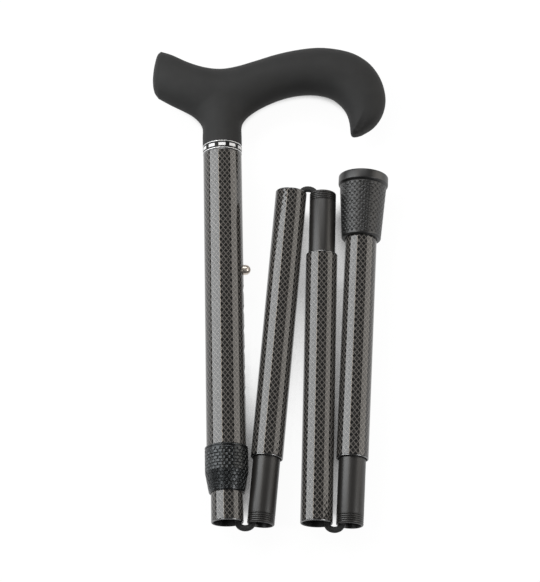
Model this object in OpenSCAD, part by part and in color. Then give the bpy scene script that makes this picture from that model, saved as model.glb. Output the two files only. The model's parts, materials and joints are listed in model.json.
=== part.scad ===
// Folding cane, lying folded on a flat surface. Millimetres, +Z up.
// The handle section points along +Y, and the other sections fold up beside it towards +X.
// Each piece is drawn in the plane of the tube axes, from the mouth of the inner tube, and then placed.

/* [Handle] */
// Reach of the handle behind the neck axis, to the end of the horn
handle_back = 41.6; // [36:0.1:48]
// Reach of the handle in front of the neck axis, to the front of the nose
handle_front = 99.3; // [90:0.1:110]
// Height of the handle above its neck foot
handle_rise = 64; // [58:0.1:70]
// Half of the handle's depth where the neck meets the grip
handle_half_depth = 13; // [12.2:0.1:14.5]
// Diameter of the handle's neck
neck_d = 23.5; // [23:0.1:25]
// Diameter of the hole in the handle for the spigot
handle_bore_d = 16; // [12:0.1:17]
// Depth of the hole in the handle
handle_bore_depth = 33; // [24:0.5:36]

/* [Collar] */
// Diameter of the collar's band
collar_d = 23.4; // [23:0.1:25]
// Height of the band between the two rims
collar_band_h = 3.2; // [3:0.1:5]
// Height of each bright rim
collar_rim_h = 0.8; // [0.4:0.1:1]
// How far each bright rim stands out of the band
collar_rim_proud = 0.1; // [0:0.05:0.3]
// Number of pale inlays around the band
inlay_count = 11; // [9:1:13]
// Width of an inlay along the band
inlay_w = 4.2; // [3:0.1:4.8]
// Height of an inlay
inlay_h = 1.9; // [1.6:0.1:2.6]
// Depth of an inlay
inlay_depth = 0.6; // [0.4:0.1:0.8]

/* [Upper section] */
// Diameter of the outer tube
outer_tube_d = 23; // [22.8:0.1:24]
// Wall of the outer tube
outer_tube_wall = 1.2; // [1:0.1:1.3]
// Length of the inner tube
inner_tube_l = 170; // [165:0.5:178]
// Free space between the inner tube's top and the spigot
inner_tube_room = 24.2; // [20:0.1:40]
// Least height of the handle's foot above the sole of the folded tip
sole_room = 20; // [18:0.5:30]
// Length of the spigot inside the outer tube
spigot_l = 32; // [20:0.5:36]
// Bore of the spigot
spigot_bore_d = 10; // [6:0.1:12]
// Length of each guide bush
bush_l = 14; // [8:0.5:18]
// How far the upper bush stops below the inner tube's top
bush_drop = 1; // [0.5:0.1:2]
// Height of the sleeve's foot above the inner tube's mouth
sleeve_foot = 17.2; // [16:0.1:20]
// Length of the adjuster sleeve
sleeve_l = 27; // [24:0.1:30]
// Diameter of the adjuster sleeve
sleeve_d = 25; // [24.4:0.1:25.4]
// Length of the outer tube inside the sleeve
sleeve_seat_l = 15.5; // [10:0.5:16]
// Diameter of the sleeve's foot
sleeve_foot_d = 20.6; // [20:0.1:22]
// Length of the sleeve's tapered foot
sleeve_taper_l = 12; // [8:0.1:14]
// Height of each lip at the top of the sleeve
sleeve_lip_h = 1.3; // [0.8:0.1:2]
// Height of the groove between the lips
sleeve_groove_h = 0.5; // [0.3:0.1:1]
// Depth of the groove between the lips
sleeve_groove_depth = 0.5; // [0.3:0.1:0.8]

/* [Height button] */
// Distance from the inner tube's top down to the button
button_drop = 17.5; // [17.5:0.5:22]
// Diameter of the button
button_d = 6; // [5:0.1:6.5]
// How far the button stands out of the outer tube
button_proud = 4.2; // [3.5:0.1:5]
// Diameter of the button's inner shoulder
button_shoulder_d = 8.4; // [7.5:0.1:9]
// Thickness of the button's inner shoulder
button_shoulder_h = 1; // [0.8:0.1:1.4]
// Number of height holes in the outer tube
height_hole_count = 7; // [5:1:7]
// Distance between height holes
height_hole_pitch = 12.5; // [12:0.1:13]
// Thickness of the button's spring strip
spring_t = 0.6; // [0.4:0.1:0.8]
// Width of the button's spring strip
spring_w = 5; // [4:0.1:6]
// Length of the spring's legs
spring_leg_l = 10; // [6:0.5:11]

/* [Lower sections] */
// Diameter of the inner tube and of the lower tubes
tube_d = 18.6; // [18.2:0.1:18.6]
// Wall of the inner tube and of the lower tubes
tube_wall = 1.25; // [1.1:0.05:1.3]
// Length of the second tube
tube_2_l = 164.5; // [155:0.5:166]
// Length of the third tube
tube_3_l = 162.5; // [160:0.5:168]
// Length of the last section from its ferrule's end to the sole
section_4_l = 213.6; // [208:0.1:216]
// Length of each ferrule outside its tube
ferrule_l = 39; // [36:0.5:40]
// Length of each ferrule inside its tube
ferrule_root_l = 25; // [20:0.5:30]
// Wall of each ferrule
ferrule_wall = 1.25; // [1:0.05:1.3]
// Length of the ridged cap at each ferrule's end
ferrule_cap_l = 6; // [5.5:0.1:8]
// Depth of the grooves between the cap's ridges
ferrule_groove_depth = 0.3; // [0.2:0.05:0.4]
// Radius of the cap's rounded rim
ferrule_rim_r = 1; // [0.6:0.1:1.1]

/* [Fold] */
// Free space between neighbouring tubes when their shoulders pass
tube_gap = 0.25; // [0.2:0.05:0.6]
// Space between a tube's mouth and the ferrule that faces it when the cane is straight
fold_gap = 0.5; // [0.3:0.1:1]
// Lean of the second section from the handle section, in degrees
lean_angle_2 = 6.2; // [6.1:0.05:7]
// Lean of the third section, in degrees
lean_angle_3 = 2.6; // [2:0.05:2.7]
// Lean of the last section, in degrees
lean_angle_4 = 4; // [3.9:0.05:4.6]

/* [Cord] */
// Diameter of the elastic cord
cord_d = 3.6; // [3:0.1:3.7]
// Reach of the cord's bend beyond the fold's pivot, to the middle of the cord
bend_drop = 2.8; // [2.8:0.1:3.8]
// Length of the cord's straight legs beside each fold
cord_leg_l = 14; // [10:0.5:18]
// Length of the cord's anchors
anchor_l = 12; // [9:0.5:15]
// Distance from the inner tube's top down to the upper anchor's foot
upper_anchor_drop = 52; // [46:0.5:70]
// Distance from the tip's sole to the lower anchor's foot
lower_anchor_drop = 31.6; // [28:0.1:54]
// Diameter of the anchor pins
anchor_pin_d = 2.5; // [2:0.1:3]
// Diameter of the cord's knots
knot_d = 7; // [6:0.1:8]

/* [Tip] */
// Length of the rubber tip
tip_l = 40; // [36:0.5:44]
// Diameter of the tip's flange
tip_flange_d = 29.6; // [28:0.1:29.8]
// Height of the tip's flange
tip_flange_h = 6; // [5:0.1:8]
// Diameter of the tip's body under the flange
tip_body_d = 27.8; // [26:0.1:28]
// Diameter of the tip's body at its mouth
tip_mouth_d = 23.4; // [23:0.1:25]
// Thickness of the tip's sole
tip_sole_t = 5; // [4:0.1:7]
// Thickness of the washer in the tip
tip_washer_t = 1.2; // [1:0.1:2]
// Rounding of the tip's edges
tip_edge_r = 1.2; // [0.8:0.1:2]

/* [Hidden] */
$fn = 48;
half_turn = 180;
// Finer steps for the collar, whose inlays are thin.
collar_fn = 240;

// Clearances: pieces glued or pressed together, pieces that slide, and the overrun of a cut.
seat_gap = 0.05;
slide_gap = 0.2;
bush_gap = 0.1;
cord_gap = 0.1;
run_gap = 0.3;
overrun = 1;

// Radii that follow from the sizes above.
tube_r = tube_d / 2;
tube_bore_r = tube_r - tube_wall;
ferrule_r = tube_bore_r - slide_gap;
ferrule_bore_r = ferrule_r - ferrule_wall;
outer_tube_r = outer_tube_d / 2;
outer_bore_r = outer_tube_r - outer_tube_wall;
neck_r = neck_d / 2;
handle_bore_r = handle_bore_d / 2;
spigot_r = outer_bore_r - seat_gap;
collar_r = collar_d / 2;
collar_rim_r = collar_r + collar_rim_proud;
cord_r = cord_d / 2;
button_r = button_d / 2;
button_hole_r = button_r + slide_gap;
anchor_r = tube_bore_r - seat_gap;
anchor_pin_r = anchor_pin_d / 2;
knot_r = knot_d / 2;
tip_bore_r = tube_r + seat_gap;

// Folds: the pivot of each fold lies midway between two axes, just outside the first tube's mouth.
// A heading is an angle from +Y towards +X.
axis_half_gap = tube_r + tube_gap / 2;
function heading(turn) = [sin(turn), cos(turn)];
function across(turn) = [cos(turn), -sin(turn)];
pivot_12 = [axis_half_gap, -fold_gap];
foot_2 = pivot_12 + axis_half_gap * across(lean_angle_2);
mouth_2 = foot_2 + (ferrule_l + tube_2_l) * heading(lean_angle_2);
pivot_23 = mouth_2 + fold_gap * heading(lean_angle_2) + axis_half_gap * across(lean_angle_2);
foot_3 = pivot_23 + axis_half_gap * across(lean_angle_3);
mouth_3 = foot_3 - (ferrule_l + tube_3_l) * heading(lean_angle_3);
pivot_34 = mouth_3 - fold_gap * heading(lean_angle_3) + axis_half_gap * across(lean_angle_3);
foot_4 = pivot_34 + axis_half_gap * across(lean_angle_4);
sole_4 = foot_4 + section_4_l * heading(lean_angle_4);

// Levels along the handle section, from the inner tube's mouth, and along the last section.
// The handle stands clear of the inner tube and of the tip folded up beside it.
collar_h = collar_band_h + 2 * collar_rim_h;
inner_need = inner_tube_l + inner_tube_room + spigot_l + collar_h;
handle_foot = max(inner_need, sole_4[1] + sole_room);
collar_foot = handle_foot - collar_h;
sleeve_top = sleeve_foot + sleeve_l;
outer_tube_foot = sleeve_top - sleeve_seat_l;
button_y = inner_tube_l - button_drop;
upper_anchor_y = inner_tube_l - upper_anchor_drop;
lower_anchor_y = section_4_l - lower_anchor_drop;
tube_4_l = section_4_l - ferrule_l - tip_sole_t - tip_washer_t;

// Cord: at each fold it leaves the tube along the wall and enters the ferrule along its wall.
mouth_leg = tube_bore_r - cord_r - cord_gap;
ferrule_leg = ferrule_bore_r - cord_r - cord_gap;
bend_r = axis_half_gap - (mouth_leg + ferrule_leg) / 2;
bend_shift = (ferrule_leg - mouth_leg) / 2;
run_start = cord_leg_l + run_gap;

// Outline of the handle, as shares of its reach and rise: across from the neck axis, up from its foot.
// The top runs from the horn over the saddle and the arch to the nose.
top_shares = [[-0.875, 0.99], [-0.715, 0.95], [-0.48, 0.87], [-0.24, 0.815], [0, 0.797], [0.1, 0.82],
    [0.22, 0.875], [0.345, 0.935], [0.475, 0.977], [0.605, 0.995], [0.725, 0.972], [0.825, 0.92],
    [0.908, 0.825], [0.963, 0.7], [0.992, 0.565], [0.998, 0.43], [0.976, 0.3], [0.928, 0.193],
    [0.86, 0.12]];
saddle_index = 4;
horn_end_shares = [[-0.92, 0.52], [-0.98, 0.585], [-1, 0.68], [-0.99, 0.78], [-0.963, 0.88],
    [-0.928, 0.955], [-0.875, 0.99]];
nose_end_shares = [[0.86, 0.12], [0.825, 0.1], [0.8, 0.095], [0.783, 0.105], [0.778, 0.13]];
left_under_shares = [[-0.33, 0.265], [-0.425, 0.33], [-0.565, 0.39], [-0.75, 0.455], [-0.92, 0.52]];
right_under_shares = [[0.13, 0.256], [0.162, 0.317], [0.213, 0.378], [0.28, 0.438], [0.37, 0.497],
    [0.455, 0.53], [0.54, 0.539], [0.61, 0.525], [0.672, 0.488], [0.718, 0.425], [0.748, 0.36],
    [0.764, 0.3], [0.773, 0.237], [0.777, 0.175], [0.778, 0.13]];
neck_foot_shares = [0, 0.1, 0.195];
fillet_index = 4;

// Half depths of the grip, as shares of the depth at the neck, from the neck to each end.
horn_depth_shares = [1, 0.99, 0.95, 0.87, 0.75];
nose_depth_shares = [1, 1.01, 1.03, 1.04, 1.03, 1, 0.95, 0.86, 0.72, 0.5];
junction_share = 0.52;

// Box of the folded cane, whose middle stands over the origin.
tip_reach = sole_4[0] + tip_flange_d / 2 * cos(lean_angle_4);
box_right = max(handle_front, tip_reach);
box_top = handle_foot + handle_rise;
bend_low = norm([bend_r * sin(lean_angle_3), bend_drop * cos(lean_angle_3)]);
box_low = pivot_34[1] - bend_shift * sin(lean_angle_3) - bend_low - cord_r;
box_mid_x = (box_right - handle_back) / 2;
box_mid_y = (box_top + box_low) / 2;
axis_height = max(tip_flange_d / 2, handle_half_depth * max(nose_depth_shares));

// Steps of the handle's grid: along the neck, the horn and the nose arm, at the ends, and up the side.
neck_steps = 8;
horn_steps = 10;
nose_steps = 30;
end_steps = 8;
side_steps = 6;

function at_handle(s) = [s[0] * (s[0] < 0 ? handle_back : handle_front), s[1] * handle_rise];
top_line = [for (s = top_shares) at_handle(s)];
horn_end = [for (s = horn_end_shares) at_handle(s)];
nose_end = [for (s = nose_end_shares) at_handle(s)];
left_line = concat([for (s = neck_foot_shares) [-neck_r, s * handle_rise]],
    [for (s = left_under_shares) at_handle(s)]);
right_line = concat([for (s = neck_foot_shares) [neck_r, s * handle_rise]],
    [for (s = right_under_shares) at_handle(s)]);
left_last = len(left_line) - 1;
right_last = len(right_line) - 1;
top_last = len(top_line) - 1;

// Smooth curve through the points of a list, by cubic pieces whose slopes follow the neighbours.
function cubic(a, b, c, d, t) =
    b + t / 2 * (c - a + t * (2 * a - 5 * b + 4 * c - d + t * (3 * (b - c) + d - a)));
function curve(list, place) =
    let (last = len(list) - 1, i = min(floor(place), last - 1), t = place - i)
    cubic(list[max(i - 1, 0)], list[i], list[i + 1], list[min(i + 2, last)], t);

// The grip swells from its outline to a middle line with an arm in the horn, the nose and the neck.
// Each arm's middle line runs halfway between its two sides, drawn to the junction at its start.
junction = [0, junction_share * handle_rise];
function between(a, b, start, t) = (a + b) / 2 + (junction - start) * pow(1 - t, 2);
function neck_side(line, t) = curve(line, fillet_index * (1 - t));
function horn_top(t) = curve(top_line, saddle_index * (1 - t));
function horn_under(t) = curve(left_line, fillet_index + (left_last - fillet_index) * t);
function nose_top(t) = curve(top_line, saddle_index + (top_last - saddle_index) * t);
function nose_under(t) = curve(right_line, fillet_index + (right_last - fillet_index) * t);
neck_start = (neck_side(left_line, 0) + neck_side(right_line, 0)) / 2;
horn_start = (horn_top(0) + horn_under(0)) / 2;
nose_start = (nose_top(0) + nose_under(0)) / 2;

// Middle points, each with its half depth: the junction, then the neck, horn and nose arms.
function neck_depth(t) = neck_r + (handle_half_depth - neck_r) * pow(1 - t, 2);
function arm_depth(shares, t) = handle_half_depth * curve(shares, (len(shares) - 1) * t);
middle = concat(
    [[junction, handle_half_depth]],
    [for (i = [1:neck_steps]) let (t = i / neck_steps)
        [between(neck_side(left_line, t), neck_side(right_line, t), neck_start, t), neck_depth(t)]],
    [for (i = [1:horn_steps]) let (t = i / horn_steps)
        [between(horn_top(t), horn_under(t), horn_start, t), arm_depth(horn_depth_shares, t)]],
    [for (i = [1:nose_steps]) let (t = i / nose_steps)
        [between(nose_top(t), nose_under(t), nose_start, t), arm_depth(nose_depth_shares, t)]]);
horn_mid = neck_steps;
nose_mid = neck_steps + horn_steps;

// Round the outline from the neck's left foot to its right foot: each point, and its middle point's index.
rim = concat(
    [for (i = [neck_steps:-1:0]) [neck_side(left_line, i / neck_steps), i]],
    [for (i = [1:horn_steps]) [horn_under(i / horn_steps), horn_mid + i]],
    [for (i = [1:end_steps - 1])
        [curve(horn_end, (len(horn_end) - 1) * i / end_steps), horn_mid + horn_steps]],
    [for (i = [horn_steps:-1:1]) [horn_top(i / horn_steps), horn_mid + i]],
    [[horn_top(0), 0]],
    [for (i = [1:nose_steps]) [nose_top(i / nose_steps), nose_mid + i]],
    [for (i = [1:end_steps - 1])
        [curve(nose_end, (len(nose_end) - 1) * i / end_steps), nose_mid + nose_steps]],
    [for (i = [nose_steps:-1:1]) [nose_under(i / nose_steps), nose_mid + i]],
    [for (i = [0:neck_steps]) [neck_side(right_line, i / neck_steps), i]]);
rim_count = len(rim);

// Points of the grip: rows from the outline up to the middle line, the same below, then both middle lines.
function swell(column, row, side) =
    let (m = middle[column[1]], turn = 90 * row / side_steps, p = m[0] + (column[0] - m[0]) * cos(turn))
    [p[0], p[1], side * m[1] * sin(turn)];
upper_middle = rim_count * (2 * side_steps - 1);
lower_middle = upper_middle + len(middle);
grip_points = concat(
    [for (row = [0:side_steps - 1]) for (column = rim) swell(column, row, 1)],
    [for (row = [1:side_steps - 1]) for (column = rim) swell(column, row, -1)],
    [for (m = middle) [m[0][0], m[0][1], m[1]]],
    [for (m = middle) [m[0][0], m[0][1], -m[1]]]);

// Index of a point of the grip, by its place round the outline, its row and its side.
function spot(place, row, side) =
    row == 0 ? place
    : row == side_steps ? (side > 0 ? upper_middle : lower_middle) + rim[place][1]
    : rim_count * (side > 0 ? row : side_steps + row - 1) + place;
function triangles(a, b, c, d) = concat(
    a == b || b == c || c == a ? [] : [[a, b, c]],
    a == c || c == d || d == a ? [] : [[a, c, d]]);
grip_faces = concat(
    [for (place = [0:rim_count - 2]) for (row = [0:side_steps - 1])
        for (f = triangles(spot(place, row, 1), spot(place + 1, row, 1),
            spot(place + 1, row + 1, 1), spot(place, row + 1, 1))) f],
    [for (place = [0:rim_count - 2]) for (row = [0:side_steps - 1])
        for (f = triangles(spot(place + 1, row, -1), spot(place, row, -1),
            spot(place, row + 1, -1), spot(place + 1, row + 1, -1))) f],
    [concat([for (row = [0:side_steps]) spot(0, row, 1)],
        [for (row = [side_steps - 1:-1:0]) spot(rim_count - 1, row, 1)],
        [for (row = [1:side_steps]) spot(rim_count - 1, row, -1)],
        [for (row = [side_steps - 1:-1:1]) spot(0, row, -1)])]);

// Places the folded cane over the origin.
module placed() {
    translate([-box_mid_x, -box_mid_y, axis_height]) children();
}

// A section's own plane: its Y runs along the section from its foot.
module in_section(foot, turn) {
    placed() translate([foot[0], foot[1], 0]) rotate([0, 0, -turn]) children();
}

// A section's axis: a shape drawn upwards lies along the section.
module on_axis(foot, turn) {
    in_section(foot, turn) rotate([-90, 0, 0]) children();
}

module on_handle_section() {
    on_axis([0, 0], 0) children();
}

module on_section_2() {
    on_axis(foot_2, lean_angle_2) children();
}

module on_section_3() {
    on_axis(foot_3, half_turn + lean_angle_3) children();
}

module on_section_4() {
    on_axis(foot_4, lean_angle_4) children();
}

// A round tube between two levels.
module pipe(outer_r, inner_r, low, high) {
    difference() {
        translate([0, 0, low]) cylinder(r = outer_r, h = high - low);
        translate([0, 0, low - overrun]) cylinder(r = inner_r, h = high - low + 2 * overrun);
    }
}

// A round hole through the side of a tube, towards +X.
module side_hole(r, level, reach) {
    translate([0, 0, level]) rotate([0, 90, 0]) cylinder(r = r, h = reach);
}

// A cross hole or pin through a tube, along its depth.
module cross_rod(r, level, length) {
    translate([0, 0, level]) rotate([90, 0, 0]) cylinder(r = r, h = length, center = true);
}

// A straight stretch of cord between two points of a section's plane.
module strand(a, b) {
    translate([a[0], a[1], 0])
        rotate([0, 0, -atan2(b[0] - a[0], b[1] - a[1])])
        rotate([-90, 0, 0])
        cylinder(r = cord_r, h = norm(b - a));
}

// A fold's U-turn of cord with its two legs, drawn at the fold's pivot with the tube's mouth at +X.
// The turn is half an oval, and its points are found from the angle of the cord's outer side there.
// Each ring of the cord has a middle point and that angle. Each leg's length counts from the pivot.
cord_sides = 12;
bend_steps = 14;
function oval_reach(turn) = norm([bend_r * cos(turn), bend_drop * sin(turn)]);
function bend_point(turn) =
    [bend_shift, 0] + [pow(bend_r, 2) * cos(turn), pow(bend_drop, 2) * sin(turn)] / oval_reach(turn);
function leg_end(turn, along) =
    [bend_shift, 0] + oval_reach(turn) * [cos(turn), sin(turn)] + along * [-sin(turn), cos(turn)];
function bend_rings(turn) = concat(
    [[leg_end(0, -cord_leg_l), 0]],
    [for (i = [0:bend_steps]) [bend_point(turn * i / bend_steps), turn * i / bend_steps]],
    [[leg_end(turn, cord_leg_l), turn]]);
function ring_point(ring, side) =
    let (out = cord_r * cos(360 * side / cord_sides), up = cord_r * sin(360 * side / cord_sides))
    [ring[0][0] + out * cos(ring[1]), ring[0][1] + out * sin(ring[1]), up];

module cord_turn(pivot, outward, flip, splay) {
    rings = bend_rings(half_turn - splay);
    last = len(rings) - 1;
    placed() translate([pivot[0], pivot[1], 0]) rotate([0, 0, -outward]) mirror([flip, 0, 0])
        polyhedron(
            points = [for (ring = rings) for (side = [0:cord_sides - 1]) ring_point(ring, side)],
            faces = concat(
                [[for (side = [0:cord_sides - 1]) side]],
                [[for (side = [cord_sides - 1:-1:0]) last * cord_sides + side]],
                [for (i = [0:last - 1]) for (side = [0:cord_sides - 1])
                    let (a = i * cord_sides, next = (side + 1) % cord_sides)
                    for (f = [[a + side, a + cord_sides + side, a + cord_sides + next],
                        [a + side, a + cord_sides + next, a + next]]) f]));
}

module handle() {
    color([0.09, 0.09, 0.09]) placed() translate([0, handle_foot, 0]) difference() {
        polyhedron(points = grip_points, faces = grip_faces, convexity = 6);
        translate([0, -overrun, 0]) rotate([-90, 0, 0])
            cylinder(r = handle_bore_r, h = handle_bore_depth + overrun);
    }
}

module handle_spigot() {
    color("dimgray") on_handle_section() {
        pipe(spigot_r, spigot_bore_d / 2, collar_foot - spigot_l, handle_foot);
        pipe(handle_bore_r - seat_gap, spigot_bore_d / 2, handle_foot, handle_foot + handle_bore_depth);
    }
}

module collar_rim(low) {
    color("silver") on_handle_section() pipe(collar_rim_r, spigot_r + seat_gap, low, low + collar_rim_h);
}

module collar_rim_upper() {
    collar_rim(handle_foot - collar_rim_h);
}

module collar_rim_lower() {
    collar_rim(collar_foot);
}

// The blocks that cut the band's pockets, or that leave the inlays, one round the collar.
inlay_low = collar_foot + collar_h / 2 - inlay_h / 2;
module inlay_blocks(gap) {
    for (i = [0:inlay_count - 1])
        rotate([0, 0, 360 * i / inlay_count - 90])
            translate([collar_r - inlay_depth - gap, -inlay_w / 2 - gap, inlay_low - gap])
            cube([inlay_depth + gap + overrun, inlay_w + 2 * gap, inlay_h + 2 * gap]);
}

module collar_pipe() {
    pipe(collar_r, spigot_r + seat_gap, collar_foot + collar_rim_h, handle_foot - collar_rim_h,
        $fn = collar_fn);
}

module collar_band() {
    color([0.05, 0.05, 0.05]) on_handle_section() difference() {
        collar_pipe();
        inlay_blocks(seat_gap);
    }
}

module collar_inlays() {
    color("whitesmoke") on_handle_section() intersection() {
        collar_pipe();
        inlay_blocks(0);
    }
}

module outer_tube() {
    color([0.16, 0.16, 0.17]) on_handle_section() difference() {
        pipe(outer_tube_r, outer_bore_r, outer_tube_foot, collar_foot);
        for (i = [0:height_hole_count - 1])
            side_hole(button_hole_r, button_y - i * height_hole_pitch, outer_tube_d);
    }
}

// Half outline of the sleeve, from its bore outwards: straight body, tapered foot, two lips at the top.
sleeve_r = sleeve_d / 2;
lip_low = sleeve_top - sleeve_lip_h;
groove_low = lip_low - sleeve_groove_h;
sleeve_outline = [
    [tube_r + slide_gap, sleeve_foot],
    [sleeve_foot_d / 2, sleeve_foot],
    [sleeve_r, sleeve_foot + sleeve_taper_l],
    [sleeve_r, groove_low],
    [sleeve_r - sleeve_groove_depth, groove_low],
    [sleeve_r - sleeve_groove_depth, lip_low],
    [sleeve_r, lip_low],
    [sleeve_r - sleeve_groove_depth, sleeve_top],
    [outer_tube_r + seat_gap, sleeve_top],
    [outer_tube_r + seat_gap, outer_tube_foot],
    [tube_r + slide_gap, outer_tube_foot]];

module adjuster_sleeve() {
    color([0.1, 0.1, 0.1]) on_handle_section() rotate_extrude() polygon(sleeve_outline);
}

module lower_bush() {
    color("dimgray") on_handle_section()
        pipe(outer_bore_r - seat_gap, tube_r + bush_gap, outer_tube_foot, outer_tube_foot + bush_l);
}

module inner_tube() {
    color([0.16, 0.16, 0.17]) on_handle_section() difference() {
        pipe(tube_r, tube_bore_r, 0, inner_tube_l);
        side_hole(button_hole_r, button_y, tube_d);
        cross_rod(anchor_pin_r + seat_gap, upper_anchor_y + anchor_l / 2, tube_d + 2 * overrun);
    }
}

// The upper bush stands round the inner tube's top, above the button.
module upper_bush() {
    color("dimgray") on_handle_section()
        pipe(outer_bore_r - bush_gap, tube_r + seat_gap, inner_tube_l - bush_l, inner_tube_l - bush_drop);
}

// Levels of the button along its own axis, from the tube's axis outwards.
button_tip = outer_tube_r + button_proud;
button_shoulder_out = tube_bore_r - 2 * button_shoulder_h;
button_shoulder_in = button_shoulder_out - button_shoulder_h;

module height_button() {
    color("gainsboro") on_handle_section() translate([0, 0, button_y]) rotate([0, 90, 0]) {
        translate([0, 0, button_shoulder_out])
            cylinder(r = button_r, h = button_tip - button_r - button_shoulder_out);
        translate([0, 0, button_tip - button_r]) sphere(r = button_r);
        translate([0, 0, button_shoulder_in]) cylinder(r = button_shoulder_d / 2, h = button_shoulder_h);
    }
}

// The spring is a strip bent to a U: one leg bears on the button, the other on the far wall.
spring_front = button_shoulder_in - slide_gap;
spring_back = -sqrt(pow(tube_bore_r, 2) - pow(spring_w / 2, 2)) + slide_gap;
spring_mid = (spring_front + spring_back) / 2;
spring_bend_r = (spring_front - spring_back) / 2;
spring_top = button_y + spring_leg_l / 2;

module spring_leg(out) {
    translate([out, spring_top - spring_leg_l]) square([spring_t, spring_leg_l]);
}

module spring_strip() {
    spring_leg(spring_front - spring_t);
    spring_leg(spring_back);
    translate([spring_mid, spring_top]) intersection() {
        difference() {
            circle(r = spring_bend_r);
            circle(r = spring_bend_r - spring_t);
        }
        translate([-spring_bend_r, 0]) square([2 * spring_bend_r, spring_bend_r]);
    }
}

module button_spring() {
    color("silver") in_section([0, 0], 0)
        translate([0, 0, -spring_w / 2]) linear_extrude(height = spring_w) spring_strip();
}

// A cord anchor is a plug with a hole for the cord, held by a cross pin beside the hole.
module anchor(level) {
    color("dimgray") difference() {
        translate([0, 0, level]) cylinder(r = anchor_r, h = anchor_l);
        translate([0, 0, level - overrun]) cylinder(r = cord_r + cord_gap, h = anchor_l + 2 * overrun);
        cross_rod(anchor_pin_r + seat_gap, level + anchor_l / 2, tube_d);
    }
}

// The pin is two short studs, one at each side of the cord's hole.
stud_l = tube_r - cord_r - slide_gap - seat_gap;
module anchor_pin(level) {
    color("silver") for (side = [-1, 1])
        translate([0, side * (tube_r - seat_gap - stud_l / 2), 0])
            cross_rod(anchor_pin_r, level + anchor_l / 2, stud_l);
}

// A knot stands on its anchor, with the cord's end through it down to the anchor's foot.
module knot(level, tail, out) {
    color([0.12, 0.12, 0.12]) {
        translate([0, 0, out]) sphere(r = knot_r);
        translate([0, 0, level]) cylinder(r = cord_r, h = tail);
    }
}

module cord_anchor_upper() {
    on_handle_section() anchor(upper_anchor_y);
}

module anchor_pin_upper() {
    on_handle_section() anchor_pin(upper_anchor_y);
}

module cord_knot_upper() {
    on_handle_section() knot(upper_anchor_y, anchor_l + knot_r, upper_anchor_y + anchor_l + knot_r);
}

module cord_run_1() {
    color([0.12, 0.12, 0.12]) in_section([0, 0], 0)
        strand([mouth_leg, run_start], [0, upper_anchor_y - run_gap]);
}

// Cord inside a lower section, from its ferrule's wall to its mouth's wall; side is 1 or -1.
module cord_between(side, length) {
    color([0.12, 0.12, 0.12])
        strand([-side * ferrule_leg, run_start], [side * mouth_leg, length - run_start]);
}

module cord_run_2() {
    in_section(foot_2, lean_angle_2) cord_between(1, ferrule_l + tube_2_l);
}

module cord_run_3() {
    in_section(foot_3, half_turn + lean_angle_3) cord_between(-1, ferrule_l + tube_3_l);
}

module cord_run_4() {
    color([0.12, 0.12, 0.12]) in_section(foot_4, lean_angle_4)
        strand([-ferrule_leg, run_start], [0, lower_anchor_y - run_gap]);
}

module cord_bend_12() {
    color([0.12, 0.12, 0.12]) cord_turn(pivot_12, half_turn, 0, lean_angle_2);
}

module cord_bend_23() {
    color([0.12, 0.12, 0.12]) cord_turn(pivot_23, lean_angle_2, 1, lean_angle_2 - lean_angle_3);
}

module cord_bend_34() {
    color([0.12, 0.12, 0.12]) cord_turn(pivot_34, half_turn + lean_angle_3, 0, lean_angle_4 - lean_angle_3);
}

module section_tube(length) {
    color([0.16, 0.16, 0.17]) pipe(tube_r, tube_bore_r, ferrule_l, ferrule_l + length);
}

module tube_2() {
    on_section_2() section_tube(tube_2_l);
}

module tube_3() {
    on_section_3() section_tube(tube_3_l);
}

module tube_4() {
    on_section_4() difference() {
        section_tube(tube_4_l);
        cross_rod(anchor_pin_r + seat_gap, lower_anchor_y + anchor_l / 2, tube_d + 2 * overrun);
    }
}

module ferrule() {
    color([0.07, 0.07, 0.08]) pipe(ferrule_r, ferrule_bore_r, ferrule_cap_l, ferrule_l + ferrule_root_l);
}

module ferrule_2() {
    on_section_2() ferrule();
}

module ferrule_3() {
    on_section_3() ferrule();
}

module ferrule_4() {
    on_section_4() ferrule();
}

// The cap ends in a rounded rim and carries three ridges between shallow grooves.
ridge_count = 3;
ridge_pitch_share = 0.2;
ridge_start_share = 0.25;
ridge_pitch = ferrule_cap_l * ridge_pitch_share;
ridge_start = ferrule_cap_l * ridge_start_share;

module ferrule_cap() {
    color([0.07, 0.07, 0.08]) difference() {
        rotate_extrude() union() {
            translate([ferrule_bore_r, ferrule_rim_r])
                square([ferrule_r - ferrule_bore_r, ferrule_cap_l - ferrule_rim_r]);
            translate([ferrule_bore_r, 0])
                square([ferrule_r - ferrule_bore_r - ferrule_rim_r, ferrule_rim_r]);
            translate([ferrule_r - ferrule_rim_r, ferrule_rim_r]) circle(r = ferrule_rim_r);
        }
        for (i = [0:ridge_count])
            translate([0, 0, ridge_start + i * ridge_pitch])
                pipe(ferrule_r + overrun, ferrule_r - ferrule_groove_depth, 0, ridge_pitch / 2);
        translate([0, 0, -overrun]) cylinder(r = ferrule_bore_r, h = ferrule_cap_l + 2 * overrun);
    }
}

module ferrule_cap_2() {
    on_section_2() ferrule_cap();
}

module ferrule_cap_3() {
    on_section_3() ferrule_cap();
}

module ferrule_cap_4() {
    on_section_4() ferrule_cap();
}

module cord_anchor_lower() {
    on_section_4() anchor(lower_anchor_y);
}

module anchor_pin_lower() {
    on_section_4() anchor_pin(lower_anchor_y);
}

module cord_knot_lower() {
    on_section_4() knot(lower_anchor_y, anchor_l + knot_r, lower_anchor_y + anchor_l + knot_r);
}

// Half outline of the tip, from its bore outwards, with rounded corners.
tip_mouth = section_4_l - tip_l;
tip_flange_low = section_4_l - tip_flange_h;
tip_floor = section_4_l - tip_sole_t;
tip_mouth_r = tip_mouth_d / 2;
tip_body_r = tip_body_d / 2;
tip_flange_r = tip_flange_d / 2;

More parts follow.
